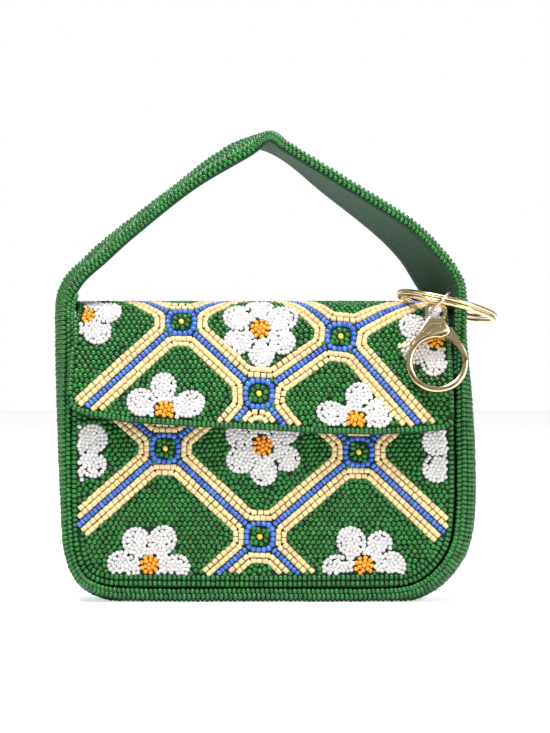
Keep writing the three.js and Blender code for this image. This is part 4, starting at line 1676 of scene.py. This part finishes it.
@dataclass
class Stage:
    """Pale floor, soft lights and the camera. Places are metres and turns are degrees.

    Attributes:
        floor: width of the floor.
        floor_glow: how much of the floor's white the camera sees whatever its light.
        sky: strength of the white world as a light.
        lamps: name, place, turn, size and energy.
        cards: name, place, turn and size of dark cards that only the metal mirrors.
        eye: the camera's place.
        aim: height that it looks at.
        lens: its focal length, millimetres.
    """

    floor: float = 6.0
    floor_glow: float = 0.64
    sky: float = 0.3
    lamps: tuple[tuple, ...] = (
        ("key", (-0.26, -0.4, 1.0), (26, 0, -32), 0.36, 14.2),
        ("fill", (0.7, -0.6, 0.4), (70, 0, 49), 0.7, 5),
        ("top", (0, 0.1, 0.95), (0, 0, 0), 0.6, 5),
    )
    cards: tuple[tuple, ...] = (
        ("card_left", (-0.42, -0.95, 0.1), (90, 0, -24), (0.16, 0.7)),
        ("card_middle", (0.0, -1.15, 0.32), (90, 0, 0), (0.9, 0.16)),
        ("card_right", (0.34, -0.98, 0.12), (90, 0, 20), (0.12, 0.7)),
    )
    eye: tuple[float, float, float] = (0.0034, -0.935, 0.085)
    aim: float = 0.0794
    lens: float = 135.0

    def _plane(self, name: str, finish: Finish, size: float, place: tuple, turn: tuple) -> bpy.types.Object:
        """A plane of the stage.

        Args:
            name: its name.
            finish: look.
            size: its width, metres.
            place: its middle, metres.
            turn: degrees about each axis.

        Returns:
            The plane.
        """
        turns = [math.radians(angle) for angle in turn]
        bpy.ops.mesh.primitive_plane_add(size=size, location=place, rotation=turns)
        plane = bpy.context.object
        plane.name = name
        plane.data.materials.append(finish.material())
        return plane

    def build_floor(self) -> None:
        """The floor, which glows a little for the camera alone."""
        material = FLOOR.material()
        nodes = Nodes(material.node_tree)
        seen = nodes.add("LightPath", {}, "Is Camera Ray")
        nodes.set(FLOOR.shader(material), {
            "Emission Color": (1, 1, 1, 1), "Emission Strength": nodes.scaled(seen, 0.0, self.floor_glow),
        })
        self._plane("floor", FLOOR, self.floor, (0, 0, 0), (0, 0, 0))

    def build_lights(self) -> None:
        """Lamps, dark cards and the white world."""
        for name, place, turn, size, energy in self.lamps:
            lamp = bpy.data.lights.new(name, "AREA")
            lamp.size = size
            lamp.energy = energy
            thing = bpy.data.objects.new(name, lamp)
            thing.location = place
            thing.rotation_euler = [math.radians(a) for a in turn]
            bpy.context.scene.collection.objects.link(thing)
        for name, place, turn, size in self.cards:
            card = self._plane(name, CARD, 1, place, turn)
            card.scale = (*size, 1)
            card.visible_camera = False
            card.visible_shadow = False
        world = bpy.data.worlds.new("soft_white")
        world.use_nodes = True
        nodes = Nodes(world.node_tree)
        seen = nodes.add("LightPath", {}, "Is Camera Ray")
        nodes.set(world.node_tree.nodes["Background"], {
            "Color": (1, 1, 1, 1), "Strength": nodes.scaled(seen, self.sky, 1.0),
        })
        bpy.context.scene.world = world

    def build_camera(self) -> None:
        """The camera and the picture's size."""
        camera = bpy.data.cameras.new("camera")
        camera.lens = self.lens
        camera.sensor_fit = "VERTICAL"
        camera.sensor_height = 36
        thing = bpy.data.objects.new("camera", camera)
        thing.location = self.eye
        thing.rotation_euler = (math.radians(90) + math.atan2(self.aim - self.eye[2], -self.eye[1]), 0, 0)
        scene = bpy.context.scene
        scene.collection.objects.link(thing)
        scene.camera = thing
        scene.render.resolution_x, scene.render.resolution_y = 550, 733
        scene.view_settings.view_transform = "Standard"


def main() -> None:
    """Builds the looks."""
    logging.basicConfig(level=logging.INFO, format="%(message)s")
    band = Band()
    flap = Flap(band)
    front = Panel(band, "front", -1, FRONT_TOP, 66.0, FRONT_TRELLIS, PICTURE.places, (1.05, 3.15))
    back = Panel(band, "back", 1, BACK_TOP, BACK_TOP, BACK_TRELLIS, as_places, short=0.6)
    for piece in (front, back, flap, band):
        piece.build_cloth()
    band.build_lining()
    front.build_beads(11, 1)
    flap.build_beads(12, 2)
    band.build_beads()
    back.build_beads(15, 5)
    for metal in HARDWARE:
        metal.dress()
    stage = Stage()
    stage.build_floor()
    stage.build_lights()
    stage.build_camera()


if __name__ == "__main__":
    main()
